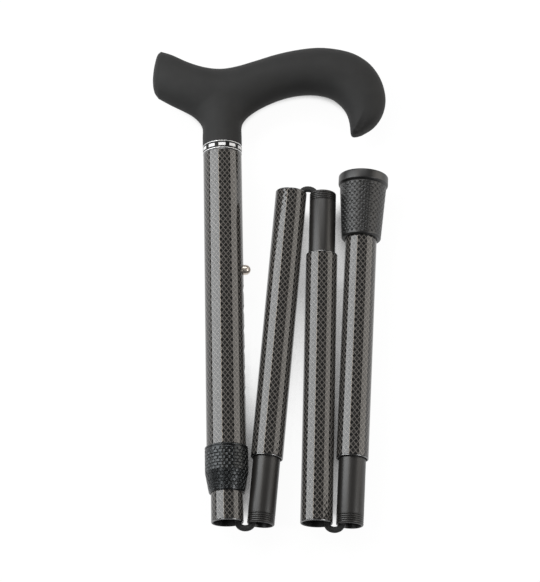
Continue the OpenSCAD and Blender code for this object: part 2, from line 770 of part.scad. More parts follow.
module rubber_tip() {
    color([0.1, 0.1, 0.1]) on_section_4() difference() {
        rotate_extrude() union() {
            polygon([[0, tip_mouth], [tip_mouth_r - tip_edge_r, tip_mouth],
                [tip_mouth_r, tip_mouth + tip_edge_r], [tip_body_r, tip_flange_low], [0, tip_flange_low]]);
            translate([0, tip_flange_low]) square([tip_flange_r - tip_edge_r, tip_flange_h]);
            translate([0, tip_flange_low + tip_edge_r]) square([tip_flange_r, tip_flange_h - 2 * tip_edge_r]);
            translate([tip_flange_r - tip_edge_r, tip_flange_low + tip_edge_r]) circle(r = tip_edge_r);
            translate([tip_flange_r - tip_edge_r, section_4_l - tip_edge_r]) circle(r = tip_edge_r);
        }
        translate([0, 0, tip_mouth - overrun]) cylinder(r = tip_bore_r, h = tip_floor - tip_mouth + overrun);
    }
}

module tip_washer() {
    color("silver") on_section_4()
        translate([0, 0, tip_floor - tip_washer_t]) cylinder(r = tube_r - seat_gap, h = tip_washer_t);
}

handle();
handle_spigot();
collar_rim_upper();
collar_band();
collar_inlays();
collar_rim_lower();
outer_tube();
adjuster_sleeve();
lower_bush();
inner_tube();
upper_bush();
button_spring();
cord_anchor_upper();
anchor_pin_upper();
cord_knot_upper();
cord_run_1();
height_button();
cord_run_2();
tube_2();
ferrule_2();
ferrule_cap_2();
cord_bend_12();
cord_run_3();
tube_3();
ferrule_3();
ferrule_cap_3();
cord_bend_23();
cord_run_4();
tube_4();
ferrule_4();
ferrule_cap_4();
cord_bend_34();
cord_anchor_lower();
anchor_pin_lower();
cord_knot_lower();
rubber_tip();
tip_washer();
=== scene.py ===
# %% [markdown]
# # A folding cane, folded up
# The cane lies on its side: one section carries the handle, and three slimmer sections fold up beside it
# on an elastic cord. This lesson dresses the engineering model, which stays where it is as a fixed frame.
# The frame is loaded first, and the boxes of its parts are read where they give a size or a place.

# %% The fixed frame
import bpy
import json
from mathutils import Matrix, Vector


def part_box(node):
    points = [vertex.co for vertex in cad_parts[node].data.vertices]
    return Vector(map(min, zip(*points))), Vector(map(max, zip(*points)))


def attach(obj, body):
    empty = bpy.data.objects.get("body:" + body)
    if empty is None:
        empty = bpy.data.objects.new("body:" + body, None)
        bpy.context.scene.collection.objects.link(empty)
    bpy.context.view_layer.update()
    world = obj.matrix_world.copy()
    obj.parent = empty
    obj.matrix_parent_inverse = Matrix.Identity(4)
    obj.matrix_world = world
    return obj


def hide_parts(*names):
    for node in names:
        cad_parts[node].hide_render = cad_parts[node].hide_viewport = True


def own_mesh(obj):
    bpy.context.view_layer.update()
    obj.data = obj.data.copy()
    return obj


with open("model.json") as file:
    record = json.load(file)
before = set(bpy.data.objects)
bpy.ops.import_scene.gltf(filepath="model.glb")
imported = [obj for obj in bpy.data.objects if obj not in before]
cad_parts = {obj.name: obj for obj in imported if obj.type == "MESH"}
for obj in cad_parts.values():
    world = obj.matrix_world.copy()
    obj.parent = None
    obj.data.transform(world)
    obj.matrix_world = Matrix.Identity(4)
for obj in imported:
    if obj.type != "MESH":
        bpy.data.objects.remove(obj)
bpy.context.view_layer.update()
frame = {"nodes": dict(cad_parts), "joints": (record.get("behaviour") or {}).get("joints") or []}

import json
import math

import bpy
import numpy as np

scene = bpy.context.scene
nodes = frame["nodes"]
joints = {joint["name"]: joint for joint in frame["joints"]}
print("nodes:", len(nodes), "joints:", sorted(joints))

# %% [markdown]
# ## The four axes
# Almost every piece of a cane is turned on a lathe round the axis of its section. The axes could be typed in,
# but the frame already holds them: the inner tube's box gives the first axis, and each later section stands
# half a gap beside the pivot of its fold, along the direction in which its plug slides.

# %% Axes from the frame
MM = 0.001


class Axis:
    """A straight axis: its foot, and the directions along it, across it and up, all in the frame."""

    def __init__(self, foot, along):
        self.foot = np.array(foot, float)
        self.along = np.array(along, float)
        self.across = np.array((along[1], -along[0], 0.0))
        self.up = np.array((0.0, 0.0, 1.0))

    def place(self, x, y, z):
        """The foot plus x millimetres across, y along and z up, for whole arrays at once."""
        steps = np.broadcast_arrays(x, y, z)
        ways = (self.across, self.along, self.up)
        return self.foot + MM * sum(s[..., None] * way for s, way in zip(steps, ways))

    def moved(self, x, y):
        """The same axis with its foot x millimetres across and y along."""
        return Axis(self.place(x, y, 0.0), self.along)


low, high = (np.array(corner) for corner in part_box("inner_tube"))
section_1 = Axis([(low[0] + high[0]) / 2, low[1], (low[2] + high[2]) / 2], (0.0, 1.0, 0.0))
TUBE_R = (high[0] - low[0]) / 2 / MM
HALF_GAP = (joints["unfold"]["pos_m"][0] - section_1.foot[0]) / MM


def folded(fold, plug, side):
    """Axis of a folded section: half a gap beside its fold's pivot, against its plug's way."""
    axis = Axis(joints[fold]["pos_m"], [-part for part in joints[plug]["axis"]])
    return axis.moved(side * HALF_GAP, 0.0)


section_2 = folded("unfold", "plug", 1)
section_3 = folded("fold_23", "plug_23", -1)
section_4 = folded("fold_34", "plug_34", 1)
print("tube radius", round(TUBE_R, 2), "half gap", round(HALF_GAP, 3))

# %% [markdown]
# ## The camera
# The photograph looks down on the cane from nearly overhead, a little from its lower end, through a long
# lens. The tilt and the turn were found by matching the ends of the tubes, and the distance by matching the
# way in which the nearer ends look larger.

# %% Camera
PHOTO_H = 582
FOCAL_PX = 2300
SENSOR = 36.0
TILT, TURN = math.radians(19.5), math.radians(1.12)
DISTANCE = 1.351
AIM = np.array((-2.0, -5.0, 14.8)) * MM

camera = bpy.data.objects.new("camera", bpy.data.cameras.new("camera"))
scene.collection.objects.link(camera)
camera.data.sensor_width = SENSOR
camera.data.lens = FOCAL_PX * SENSOR / PHOTO_H
back = np.array((-math.sin(TILT) * math.sin(TURN), -math.sin(TILT) * math.cos(TURN), math.cos(TILT)))
camera.location = AIM + DISTANCE * back
camera.rotation_euler = (TILT, 0.0, -TURN)
scene.camera = camera
print("lens", round(camera.data.lens, 1), "mm")

# %% [markdown]
# ## The light
# The gloss on the tubes shows how such a cane is lit: a large cool light on the left, a low warm one on the
# right, and darkness straight above, which leaves the pattern clear along the middle of each tube.
# Rectangular lamps do this, and a thin warm one stands for the bright edge of the left light. Their strength
# is given as the brightness of their faces, which the gloss mirrors, and they are only as long as the tubes
# mirror them, so that they don't flood the cane. A lamp high behind the handle, which no tube mirrors to the
# camera, lights the soft shapes from the top of the picture and leaves their lower rims dark, and two small
# ones in front put a glint on whatever slopes forward.

# %% Lamps and world
LAMP_DISTANCE = 0.9
LONG, SHORT = (0.275, 0.46), (-0.28, 0.21)
BACK_PLACE, BACK_TILT = (0.0, 0.7, 0.8), math.radians(-32)
WORLD_GREY = 0.1


def soft_light(name, place, turn, width, length, brightness, colour):
    """A rectangular lamp whose face has the given brightness."""
    data = bpy.data.lights.new(name, "AREA")
    data.shape = "RECTANGLE"
    data.size, data.size_y = width, length
    data.energy = brightness * math.pi * width * length
    data.color = colour
    lamp = bpy.data.objects.new(name, data)
    scene.collection.objects.link(lamp)
    lamp.location, lamp.rotation_euler = place, turn
    print(name, "width", round(width, 2), "m")


def side_light(name, side, near, far, stretch, brightness, colour):
    """A lamp seen on one side, between two angles from overhead; stretch is its middle and length."""
    width = 2 * LAMP_DISTANCE * math.tan(math.radians(far - near) / 2)
    angle = math.radians((near + far) / 2)
    place = (side * LAMP_DISTANCE * math.sin(angle), stretch[0], LAMP_DISTANCE * math.cos(angle))
    soft_light(name, place, (0.0, side * angle, 0.0), width, stretch[1], brightness, colour)


COOL, WHITE = (0.97, 0.99, 1.0), (1.0, 1.0, 1.0)
WARM, AMBER = (1.0, 0.95, 0.88), (1.0, 0.88, 0.74)
side_light("left_light", -1, 25.5, 80.0, LONG, 5.6, COOL)
side_light("left_edge", -1, 22.5, 25.0, LONG, 8.1, AMBER)
side_light("right_light", 1, 46.0, 89.0, LONG, 2.5, WARM)
side_light("left_front", -1, 25.0, 46.0, SHORT, 4.8, COOL)
side_light("right_front", 1, 36.0, 60.0, SHORT, 8.5, WHITE)
soft_light("back_light", BACK_PLACE, (BACK_TILT, 0.0, 0.0), 0.6, 0.2, 8.5, WHITE)
world = bpy.data.worlds.new("studio")
world.use_nodes = True
world.node_tree.nodes["Background"].inputs["Color"].default_value = (WORLD_GREY, WORLD_GREY, WORLD_GREY, 1.0)
scene.world = world
scene.view_settings.view_transform = "Standard"

# %% [markdown]
# ## Finishes as expressions
# A finish is a web of shader nodes. Wiring nodes by hand hides the idea behind a pattern, so a small class
# wraps a socket: sums, products and comparisons of wrapped sockets read like formulas, and each adds its
# node. Every other node comes from one method, which sets the node up before it feeds its sockets.


# %% Wrapped sockets
class Signal:
    """One output of a shader node that can be used in sums, differences, products and quotients."""

    def __init__(self, finish, socket):
        self.finish, self.socket = finish, socket

    def math(self, operation, *others, first=None, clamp=False):
        """A Math node on this value and the others, or on the first value and this one."""
        values = [self if first is None else first, *([self] if first is not None else others)]
        settings = {"operation": operation, "use_clamp": clamp}
        return self.finish.node("ShaderNodeMath", settings, dict(enumerate(values)))

    def __add__(self, other):
        return self.math("ADD", other)

    def __sub__(self, other):
        return self.math("SUBTRACT", other)

    def __mul__(self, other):
        return self.math("MULTIPLY", other)

    def __truediv__(self, other):
        return self.math("DIVIDE", other)

    def __rsub__(self, other):
        return self.math("SUBTRACT", first=other)

    def __rtruediv__(self, other):
        return self.math("DIVIDE", first=other)

    __radd__, __rmul__ = __add__, __mul__

    def clamped(self):
        return self.math("MULTIPLY", 1.0, clamp=True)

    def above(self, other):
        return self.math("MAXIMUM", other)

    def cosine(self):
        """Cosine of so many full turns."""
        return (self * math.tau).math("COSINE")

    def wave(self, half=0.5):
        """Triangle wave: the distance to the nearest multiple of two halves."""
        return self.math("PINGPONG", half)


class Finish:
    """A material with one shader; node() adds any node, and surface() feeds the shader."""

    def __init__(self, name):
        self.material = bpy.data.materials.new(name)
        self.material.use_nodes = True
        self.tree = self.material.node_tree
        self.shader = self.tree.nodes["Principled BSDF"]

    def feed(self, socket, value):
        if isinstance(value, Signal):
            self.tree.links.new(value.socket, socket)
        else:
            socket.default_value = value

    def node(self, kind, settings=None, sockets=None, output=0):
        made = self.tree.nodes.new(kind)
        for key, value in (settings or {}).items():
            setattr(made, key, value)
        for key, value in (sockets or {}).items():
            self.feed(made.inputs[key], value)
        return Signal(self, made.outputs[output])

    def surface(self, **values):
        for name, value in values.items():
            self.feed(self.shader.inputs[name.replace("_", " ")], value)

    def mixed(self, share, one, other):
        """Colour between one and other, by share."""
        return self.node("ShaderNodeMix", {"data_type": "RGBA"}, {0: share, 6: one, 7: other}, 2)

    def parts(self, vector):
        """The three parts of a vector."""
        split = self.tree.nodes.new("ShaderNodeSeparateXYZ")
        self.feed(split.inputs[0], vector)
        return [Signal(self, out) for out in split.outputs]

    def place(self):
        """Where a point lies on the piece, in metres."""
        return self.node("ShaderNodeTexCoord", output="Object")

    def noise(self, scale, detail=2.0):
        """Seeded cloud pattern with about scale lumps in a metre."""
        sockets = {"Vector": self.place(), "Scale": scale, "Detail": detail}
        return self.node("ShaderNodeTexNoise", None, sockets)

    def bump(self, height, depth, strength=1.0):
        """Slope of the surface from a height between 0 and 1 that stands for depth metres."""
        return self.node("ShaderNodeBump", None, {"Strength": strength, "Distance": depth, "Height": height})


def grey(value, warm=0.0):
    """A neutral colour, a little warmer or cooler."""
    return (value * (1 + warm), value, value * (1 - warm), 1.0)


# %% [markdown]
# ## The lattice under the lacquer
# The tubes carry a fine diamond lattice under a clear gloss: pale threads cross over dark diamonds. An image
# could hold it, but two families of slanted lines do it exactly: with u the share of a turn and v the height,
# the threads run where count * u + v / pitch and count * u - v / pitch are whole numbers. The cloth under the
# lacquer lifts the gloss a little, so the edges of the reflections waver as they do on the real tube.


# %% Lattice finish
PITCH = 3.65 * MM
THREAD_HALF, THREAD_FADE = 0.13, 0.09
LACQUER_IOR = 1.52


def lattice(name, count):
    """Dark diamonds, count round the tube, between pale threads; painted shading lightens each towards one
    end.
    """
    made = Finish(name)
    u, v, _ = made.parts(made.node("ShaderNodeUVMap", {"uv_map": "turned"}))
    rising, falling = u * count + v / PITCH, u * count - v / PITCH
    threads = [((THREAD_HALF - way.wave()) / THREAD_FADE).clamped() for way in (rising, falling)]
    thread = threads[0].above(threads[1] * 0.85)
    # Painted shading: each diamond's colour is lighter towards one end, so that it looks raised; the clouds
    # add a random tone.
    end = ((rising - falling).wave(1.0) * 0.8).clamped()
    cloud = made.noise(400.0)
    dark = made.mixed(end * cloud, grey(0.01), grey(0.05, 0.06))
    made.surface(
        Base_Color=made.mixed(thread * (0.75 + cloud * 0.3), dark, grey(0.15, 0.08)),
        Roughness=0.03 + cloud * 0.02,
        Normal=made.bump(rising.cosine() + falling.cosine(), 0.003 * MM),
        IOR=LACQUER_IOR,
    )
    return made.material


upper_lattice = lattice("lattice_upper", 25)
lower_lattice = lattice("lattice_lower", 20)
print("lattice finishes:", upper_lattice.name, lower_lattice.name)

# %% [markdown]
# ## Plain finishes
# The other surfaces are simple materials with a little life: moulded plastic has a fine grain, rubber is dull
# and slightly dusty, and steel and chrome are never quite evenly polished. Each has the same recipe: a colour
# that drifts between two greys, a roughness that drifts with it, a grain of its own size and depth, and shade
# painted nearly black into the deepest hollows of its relief.


# %% Grained finish
DRIFT_SCALE = 120.0
# Colour of the shade that is painted into the hollows of a relief.
PAINTED_SHADE_GREY = 0.002


def grained(name, colours, roughness, grain, depth, metallic=0.0, warm=0.0, **constants):
    """Colour and roughness drift between two values by clouds; shade is painted nearly black into the piece's
    hollows.

    The grain and its depth are in millimetres.
    """
    made = Finish(name)
    slow, fine = made.noise(DRIFT_SCALE), made.noise(1.0 / (grain * MM), 3.0)
    painted_shade_mask = made.node("ShaderNodeAttribute", {"attribute_name": "painted_shade_mask"}, output="Fac")
    plain = made.mixed(slow * 0.6 + fine * 0.4, grey(colours[0], warm), grey(colours[1], warm))
    made.surface(
        # Painted shade: the deeper a point lies in the relief's hollows, the nearer its colour is painted to
        # black.
        Base_Color=made.mixed(painted_shade_mask, plain, grey(PAINTED_SHADE_GREY)),
        Roughness=roughness[0] + (roughness[1] - roughness[0]) * fine,
        Normal=made.bump(fine, depth * MM, 0.5),
        Metallic=metallic,
        **constants,
    )
    return made.material


soft_touch = grained("soft_touch", (0.027, 0.041), (0.55, 0.65), 0.35, 0.02, Specular_IOR_Level=0.1)
tip_rubber = grained("tip_rubber", (0.004, 0.014), (0.34, 0.42), 0.8, 0.02, Specular_IOR_Level=0.62)
sleeve_rubber = grained("sleeve_rubber", (0.003, 0.009), (0.22, 0.3), 0.6, 0.02, 0.0, -0.06,
                        Specular_IOR_Level=0.5, Specular_Tint=(0.92, 0.97, 1.0, 1.0))
satin_black = grained("satin_black", (0.012, 0.018), (0.34, 0.42), 0.3, 0.006, 0.0, 0.08,
                      Specular_IOR_Level=0.57)
bore_black = grained("bore_black", (0.006, 0.01), (0.5, 0.6), 0.5, 0.02)
lip_metal = grained("lip_metal", (0.16, 0.24), (0.18, 0.28), 0.5, 0.002, 1.0)
band_black = grained("band_black", (0.006, 0.01), (0.35, 0.45), 0.5, 0.003, Specular_IOR_Level=0.2)
pearl_white = grained("pearl_white", (0.76, 0.84), (0.2, 0.3), 0.6, 0.004)
inner_plastic = grained("inner_plastic", (0.05, 0.08), (0.4, 0.5), 0.4, 0.01)
bright_rim = grained("bright_rim", (0.78, 0.88), (0.4, 0.5), 0.4, 0.001, 1.0)
steel = grained("steel", (0.58, 0.68), (0.36, 0.42), 0.3, 0.003, 1.0, 0.1)
print("finishes so far:", len(bpy.data.materials))

# %% [markdown]
# ## Braided cord
# The elastic that holds the sections together has a dark braided jacket. Its relief is modelled below, and
# the finish adds the two shades of its threads, on the cord's own map: one part runs round it, one along it.


# %% Braid finish
BRAID_STRANDS = 8
BRAID_PITCH = 9.0 * MM


def braid(name):
    """Threads of two shades that wind round the cord both ways, with dull fibres."""
    made = Finish(name)
    u, v, _ = made.parts(made.node("ShaderNodeUVMap", {"uv_map": "turned"}))
    wound, lengthwise = u * BRAID_STRANDS, v * (BRAID_STRANDS / BRAID_PITCH)
    thread = (wound + lengthwise).wave().above((wound - lengthwise).wave()) * 2.0
    fibre = made.noise(6000.0, 3.0)
    made.surface(
        Base_Color=made.mixed((thread * 0.7 + fibre * 0.3).clamped(), grey(0.004), grey(0.03)),
        Roughness=0.6 + fibre * 0.3,
        Normal=made.bump(fibre, 0.05 * MM, 0.6),
    )
    return made.material


cord_jacket = braid("cord_jacket")
print("cord finish:", cord_jacket.name)

# %% [markdown]
# ## From a grid of points to a piece
# Almost every new piece is a grid that closes round in one direction. The mesh could be made with modelling
# commands, but whole arrays are quicker and exact. A column whose points all fall together is a pole, and its
# squares become triangles. The map "turned" holds the share of a turn and the height along the piece, and it
# runs on to 1 at the seam, so a pattern closes there.


# %% Grid to piece
SHARP = math.radians(40)
SAME_POINT = 1e-7


def finish_piece(name, body, mesh, materials, replaced):
    """Puts a mesh into the scene as a piece that rides on a body and stands for the replaced nodes."""
    for material in materials:
        mesh.materials.append(material)
    mesh.polygons.foreach_set("use_smooth", np.ones(len(mesh.polygons), bool))
    mesh.set_sharp_from_angle(angle=SHARP)
    piece = bpy.data.objects.new(f"{name}_skin", mesh)
    scene.collection.objects.link(piece)
    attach(piece, body)
    if replaced:
        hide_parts(*replaced)
    print(name, "faces", len(mesh.polygons), "on", body)
    return piece


def grid_mesh(name, points, heights, closed, painted_shade_mask=None):
    """Mesh of points[i, j], closed round i, and also round j where closed; heights[j] goes into the map."""
    turns, count = points.shape[:2]
    index = np.arange(turns * count).reshape(turns, count)
    pole = np.ptp(points, axis=0).max(axis=1) < SAME_POINT
    index[:, pole] = index[0, pole]
    i, j = np.meshgrid(np.arange(turns), np.arange(count if closed else count - 1), indexing="ij")
    i, j = i.ravel(), j.ravel()
    ahead, above = (i + 1) % turns, (j + 1) % count
    corners = np.stack([index[i, j], index[ahead, j], index[ahead, above], index[i, above]], 1)
    rise = heights[above]
    around = np.stack([i, i + 1, i + 1, i], 1) / turns
    up = np.stack([heights[j], heights[j], rise, rise], 1)
    low_pole, high_pole = corners[:, 0] == corners[:, 1], corners[:, 2] == corners[:, 3]
    plain = ~(low_pole | high_pole)
    used, renumbered = np.unique(corners, return_inverse=True)
    renumbered = renumbered.reshape(corners.shape)
    groups = [(plain, [0, 1, 2, 3]), (low_pole, [0, 2, 3]), (high_pole, [0, 1, 2])]
    faces = [face for mask, keep in groups for face in renumbered[mask][:, keep].tolist()]
    mapped = [np.stack([around[mask][:, keep], up[mask][:, keep]], 2).reshape(-1, 2) for mask, keep in groups]
    mesh = bpy.data.meshes.new(name)
    mesh.from_pydata(points.reshape(-1, 3)[used].tolist(), [], faces)
    mesh.uv_layers.new(name="turned").data.foreach_set("uv", np.concatenate(mapped).ravel())
    if painted_shade_mask is not None:
        mesh.attributes.new("painted_shade_mask", "FLOAT", "POINT").data.foreach_set("value", painted_shade_mask.ravel()[used])
    return mesh


# %% [markdown]
# ## Turning on a lathe
# A tube, a ferrule, the sleeve and the tip are all turned: an outline of radii and heights goes round the
# axis. The outline runs up the outside and down the inside, which points the faces outwards. Sharp corners
# would look like paper, so each corner is cut back a little and rounded by a short curve.


# %% Lathe helpers
CORNER_STEPS = 5


def rounded(corners, cut, steps=CORNER_STEPS):
    """Each corner becomes the parabola from a point cut millimetres before it to one after it."""
    here = np.array(corners, float)
    before, after = np.roll(here, 1, 0) - here, np.roll(here, -1, 0) - here
    start = here + cut * before / np.linalg.norm(before, axis=1, keepdims=True)
    end = here + cut * after / np.linalg.norm(after, axis=1, keepdims=True)
    t = np.linspace(0, 1, steps)[None, :, None]
    bent = (1 - t) ** 2 * start[:, None] + 2 * t * (1 - t) * here[:, None] + t**2 * end[:, None]
    return bent.reshape(-1, 2)


def lathe(axis, outline, turns, relief=0.0):
    """Point (i, j): height h_j along the axis, radius r_j plus the relief, at i / turns of a full turn."""
    radius, height = np.array(outline, float).T
    angle = 2 * np.pi * np.arange(turns)[:, None] / turns
    reach = radius[None, :] + relief
    return axis.place(reach * np.sin(angle), height[None, :], reach * np.cos(angle))


def turned(name, body, axis, outline, materials, replaced, closed=True, turns=160, relief=None):
    """A piece turned from an outline, closed from its last point to its first unless it ends on the axis."""
    outline = np.array(outline, float)
    cut = np.zeros((turns, len(outline)))
    if relief:
        cut = cut + relief(np.arange(turns)[:, None] / turns, outline[None, :, 1])
    # Painted shade: the depth of each cut, from 0 to 1, is kept on the piece as the mask by which the grained
    # finishes paint its hollows dark.
    painted_shade_mask = np.clip(cut / min(cut.min(), -1e-6), 0, 1) ** 3
    mesh = grid_mesh(name, lathe(axis, outline, turns, cut), outline[:, 1] * MM, closed, painted_shade_mask)
    return finish_piece(name, body, mesh, materials, replaced)


# %% [markdown]
# ## Tubes
# Four of the tubes are plain: an outer wall with the lattice, a bore that is only dark metal, and at each end
# a narrow lip of dark polished metal behind a fine groove. One piece with three finishes does it: a face gets
# its finish from the height of its middle and from its distance to the axis.

# %% Tubes
TUBE_BORE = TUBE_R - 1.25
LIP, LIP_GROOVE = 0.8, 0.12


def tube_outline(radius, bore, start, end):
    """Round ends, and a fine groove in the outer wall behind the lip at each of them."""
    ends = rounded([(radius, start), (radius, end), (bore, end), (bore, start)], 0.5)
    groove = np.array([(radius, -LIP_GROOVE), (radius - LIP_GROOVE, 0.0), (radius, LIP_GROOVE)])
    grooves = [groove + (0.0, start + LIP), groove + (0.0, end - LIP)]
    return np.concatenate([ends[:CORNER_STEPS], *grooves, ends[CORNER_STEPS:]])


def wall_finishes(piece, axis, radius, start, end):
    """Third finish beyond the lips' grooves, second nearer to the axis than radius, first elsewhere."""
    centres = np.zeros(len(piece.data.polygons) * 3)
    piece.data.polygons.foreach_get("center", centres)
    offset = (centres.reshape(-1, 3) - axis.foot) / MM
    height = offset @ axis.along
    away = np.linalg.norm(offset - np.outer(height, axis.along), axis=1)
    lips = (height < start + LIP) | (height > end - LIP)
    choice = np.where(away < radius, 1, np.where(lips, 2, 0)).astype(np.int32)
    piece.data.polygons.foreach_set("material_index", choice)


def tube(name, body, axis, start, end, radius=TUBE_R, bore=TUBE_BORE, finish=lower_lattice, turns=160):
    """A tube between two heights of its axis: lattice outside, dark bore, and polished lips."""
    outline = tube_outline(radius, bore, start, end)
    finishes = [finish, bore_black, lip_metal]
    piece = turned(name, body, axis, outline, finishes, [name], turns=turns)
    wall_finishes(piece, axis, (radius + bore) / 2, start, end)
    return piece


FERRULE_L = 39.0
TUBE_2_L, TUBE_3_L, SECTION_4_L, INNER_TUBE_L = 164.5, 162.5, 213.6, 170.0
TUBE_4_END = SECTION_4_L - 6.2
tube("tube_2", "section_2", section_2, FERRULE_L, FERRULE_L + TUBE_2_L)
tube("tube_3", "section_3", section_3, FERRULE_L, FERRULE_L + TUBE_3_L)
tube("tube_4", "section_4", section_4, FERRULE_L, TUBE_4_END)
inner_tube = tube("inner_tube", "inner_section", section_1, 0.0, INNER_TUBE_L)

# %% [markdown]
# ## Holes for the height button
# The button looks out of one of seven holes in the outer tube. A grid has no holes, so they are cut by a
# Boolean modifier with round rods, and the result is applied. The cut keeps the map and the finishes.

# %% Outer tube and its holes
BUTTON_Y = 152.5
HOLE_R, HOLE_PITCH, HOLE_COUNT = 3.2, 12.5, 7
ROD_SPARE, ROD_TURNS = 2.0, 48


def drilled(piece, axis, heights, reach):
    """Cuts round holes from the axis outwards, towards its across side, at the given heights."""
    ways = [Axis(axis.place(0.0, height, 0.0), axis.across) for height in heights]
    outline = [(0.0, 0.0), (HOLE_R, 0.0), (HOLE_R, reach), (0.0, reach)]
    rods = [lathe(way, outline, ROD_TURNS) for way in ways]
    meshes = [grid_mesh("rod", rod, np.array([0.0, 0.0, reach, reach]), False) for rod in rods]
    cutters = [bpy.data.objects.new("rod", mesh) for mesh in meshes]
    for cutter in cutters:
        scene.collection.objects.link(cutter)
        cut = piece.modifiers.new("hole", "BOOLEAN")
        cut.object, cut.solver = cutter, "EXACT"
    bpy.context.view_layer.update()
    holed = bpy.data.meshes.new_from_object(piece.evaluated_get(bpy.context.evaluated_depsgraph_get()))
    piece.modifiers.clear()
    piece.data = holed
    piece.data.set_sharp_from_angle(angle=SHARP)
    for cutter in cutters:
        bpy.data.objects.remove(cutter)
    print(piece.name, "holes", len(heights), "faces", len(holed.polygons))


OUTER_R, OUTER_BORE = 11.5, 10.3
OUTER_FOOT, COLLAR_FOOT = 28.7, 226.2
outer_tube = tube("outer_tube", "handle_section", section_1, OUTER_FOOT, COLLAR_FOOT, OUTER_R, OUTER_BORE,
                  upper_lattice, 192)
drilled(outer_tube, section_1, BUTTON_Y - HOLE_PITCH * np.arange(HOLE_COUNT), OUTER_R + ROD_SPARE)
drilled(inner_tube, section_1, [BUTTON_Y], TUBE_R + ROD_SPARE)

# %% [markdown]
# ## Height button
# A steel pin with a ball end snaps through the holes. It is turned round its own axis, which points out of
# the side of the tube, from the shoulder that keeps it inside to the ball.

# %% Button
BUTTON_R, BUTTON_TIP = 3.0, 15.7
SHOULDER_R, SHOULDER_IN, SHOULDER_OUT, EDGE = 4.2, 5.05, 6.05, 0.2
button_axis = Axis(section_1.place(0.0, BUTTON_Y, 0.0), section_1.across)
arc = np.radians(np.linspace(0, 90, 24))
ball = np.stack([BUTTON_R * np.cos(arc), BUTTON_TIP - BUTTON_R + BUTTON_R * np.sin(arc)], 1)
ball[-1, 0] = 0.0
shoulder = [(0.0, SHOULDER_IN), (SHOULDER_R - EDGE, SHOULDER_IN), (SHOULDER_R, SHOULDER_IN + EDGE),
            (SHOULDER_R, SHOULDER_OUT - EDGE), (SHOULDER_R - EDGE, SHOULDER_OUT), (BUTTON_R, SHOULDER_OUT)]
turned("height_button", "button", button_axis, np.concatenate([shoulder, ball]), [steel],
       ["height_button"], closed=False, turns=96)

# %% [markdown]
# Behind the button sits a leaf spring, a flat strip that is bent into an arch with two legs. It is a rectangle
# carried along that path, in the room that the frame gives it, and it rides on the inner section. The frame's
# own spring is stiff.

# %% Leaf spring
SPRING_T = 0.6 * MM
LEG_STEPS, ARCH_STEPS = 20, 40
low, high = (np.array(corner, float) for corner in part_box("button_spring"))
reach, half_width = (high[0] - low[0]) / 2, (high[2] - low[2]) / 2
middle = np.array(((low[0] + high[0]) / 2, high[1] - reach, (low[2] + high[2]) / 2))
leg = np.linspace(low[1] - middle[1], 0, LEG_STEPS)[:-1]
turn = np.concatenate([np.zeros(len(leg)), np.linspace(0, np.pi, ARCH_STEPS), np.full(len(leg), np.pi)])
outwards = np.stack([np.cos(turn), np.sin(turn), np.zeros(len(turn))], 1)
strip = middle + (reach - SPRING_T / 2) * outwards
strip[:len(leg), 1] += leg
strip[-len(leg):, 1] += leg[::-1]
place = np.concatenate([[0], np.arange(len(strip)), [len(strip) - 1]])
size = np.where(np.arange(len(place)) % (len(place) - 1) == 0, 0.0, 1.0)[:, None]
thickness, width = SPRING_T / 2 * outwards[place], half_width * np.array((0, 0, 1))
edges = [strip[place] + size * (thick * thickness + wide * width)
         for thick, wide in ((1, 1), (1, -1), (-1, -1), (-1, 1))]
mesh = grid_mesh("button_spring", np.stack(edges), np.zeros(len(place)), False)
spring = finish_piece("button_spring", "inner_section", mesh, [steel], ["button_spring"])
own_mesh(spring)

# %% [markdown]
# ## Ferrules and their caps
# Each lower section plugs into the one before it with a black ferrule. Its end cap has three ridges between
# four grooves, and a rounded rim. The grooves are a power of a cosine cut into the radius, so the ridges stay
# broad and catch the light, while the grooves are narrow and dark, partly from the light and partly from shade
# painted into their colour.

# %% Ferrules
FERRULE_R, FERRULE_BORE = 7.85, 6.6
CAP_L, CAP_SEAM, RIM = 6.0, 0.05, 1.0
CAP_STEPS, SHANK_INSIDE = 160, 25.0
GROOVE_START, GROOVE_PITCH, GROOVES, GROOVE_DEPTH = 1.1, 1.2, 4, 0.35
heights = np.linspace(RIM, CAP_L - CAP_SEAM, CAP_STEPS)
arc = np.radians(np.linspace(-90, 0, 12)[:-1])
rim = np.stack([FERRULE_R - RIM + RIM * np.cos(arc), RIM + RIM * np.sin(arc)], 1)
wall = np.stack([np.full(CAP_STEPS, FERRULE_R), heights], 1)
bore = np.array([(FERRULE_BORE, CAP_L - CAP_SEAM), (FERRULE_BORE, 0.25), (FERRULE_BORE + 0.1, 0.05)])
cap_outline = np.concatenate([rim, wall, bore])
on_wall = np.concatenate([np.zeros(len(rim)), np.ones(len(wall)), np.zeros(len(bore))])
shank_end = FERRULE_L + SHANK_INSIDE
shank_outline = rounded([(FERRULE_R, CAP_L), (FERRULE_R, shank_end), (FERRULE_BORE, shank_end),
                         (FERRULE_BORE, CAP_L)], 0.12)


def cap_grooves(share, height):
    """Relief: minus the depth times the third power of a raised cosine of the height, on the wall alone."""
    phase = np.clip((height - GROOVE_START) / GROOVE_PITCH, 0, GROOVES)
    return -GROOVE_DEPTH * (0.5 - 0.5 * np.cos(2 * np.pi * phase)) ** 3 * on_wall + 0 * share


kinds = (("ferrule", shank_outline, None), ("ferrule_cap", cap_outline, cap_grooves))
for number, axis in ((2, section_2), (3, section_3), (4, section_4)):
    for kind, outline, relief in kinds:
        name = f"{kind}_{number}"
        turned(name, f"section_{number}", axis, outline, [satin_black], [name], turns=144,
               relief=relief)

# %% [markdown]
# ## Adjuster sleeve
# The rubber sleeve at the foot of the outer tube closes round the inner tube. Its skin is a field of small
# raised blocks, staggered from row to row like bricks, with two smooth lips above. A picture could fake them,
# but they catch the light only when they are really there: each block is flat on top and falls off at its
# edges.


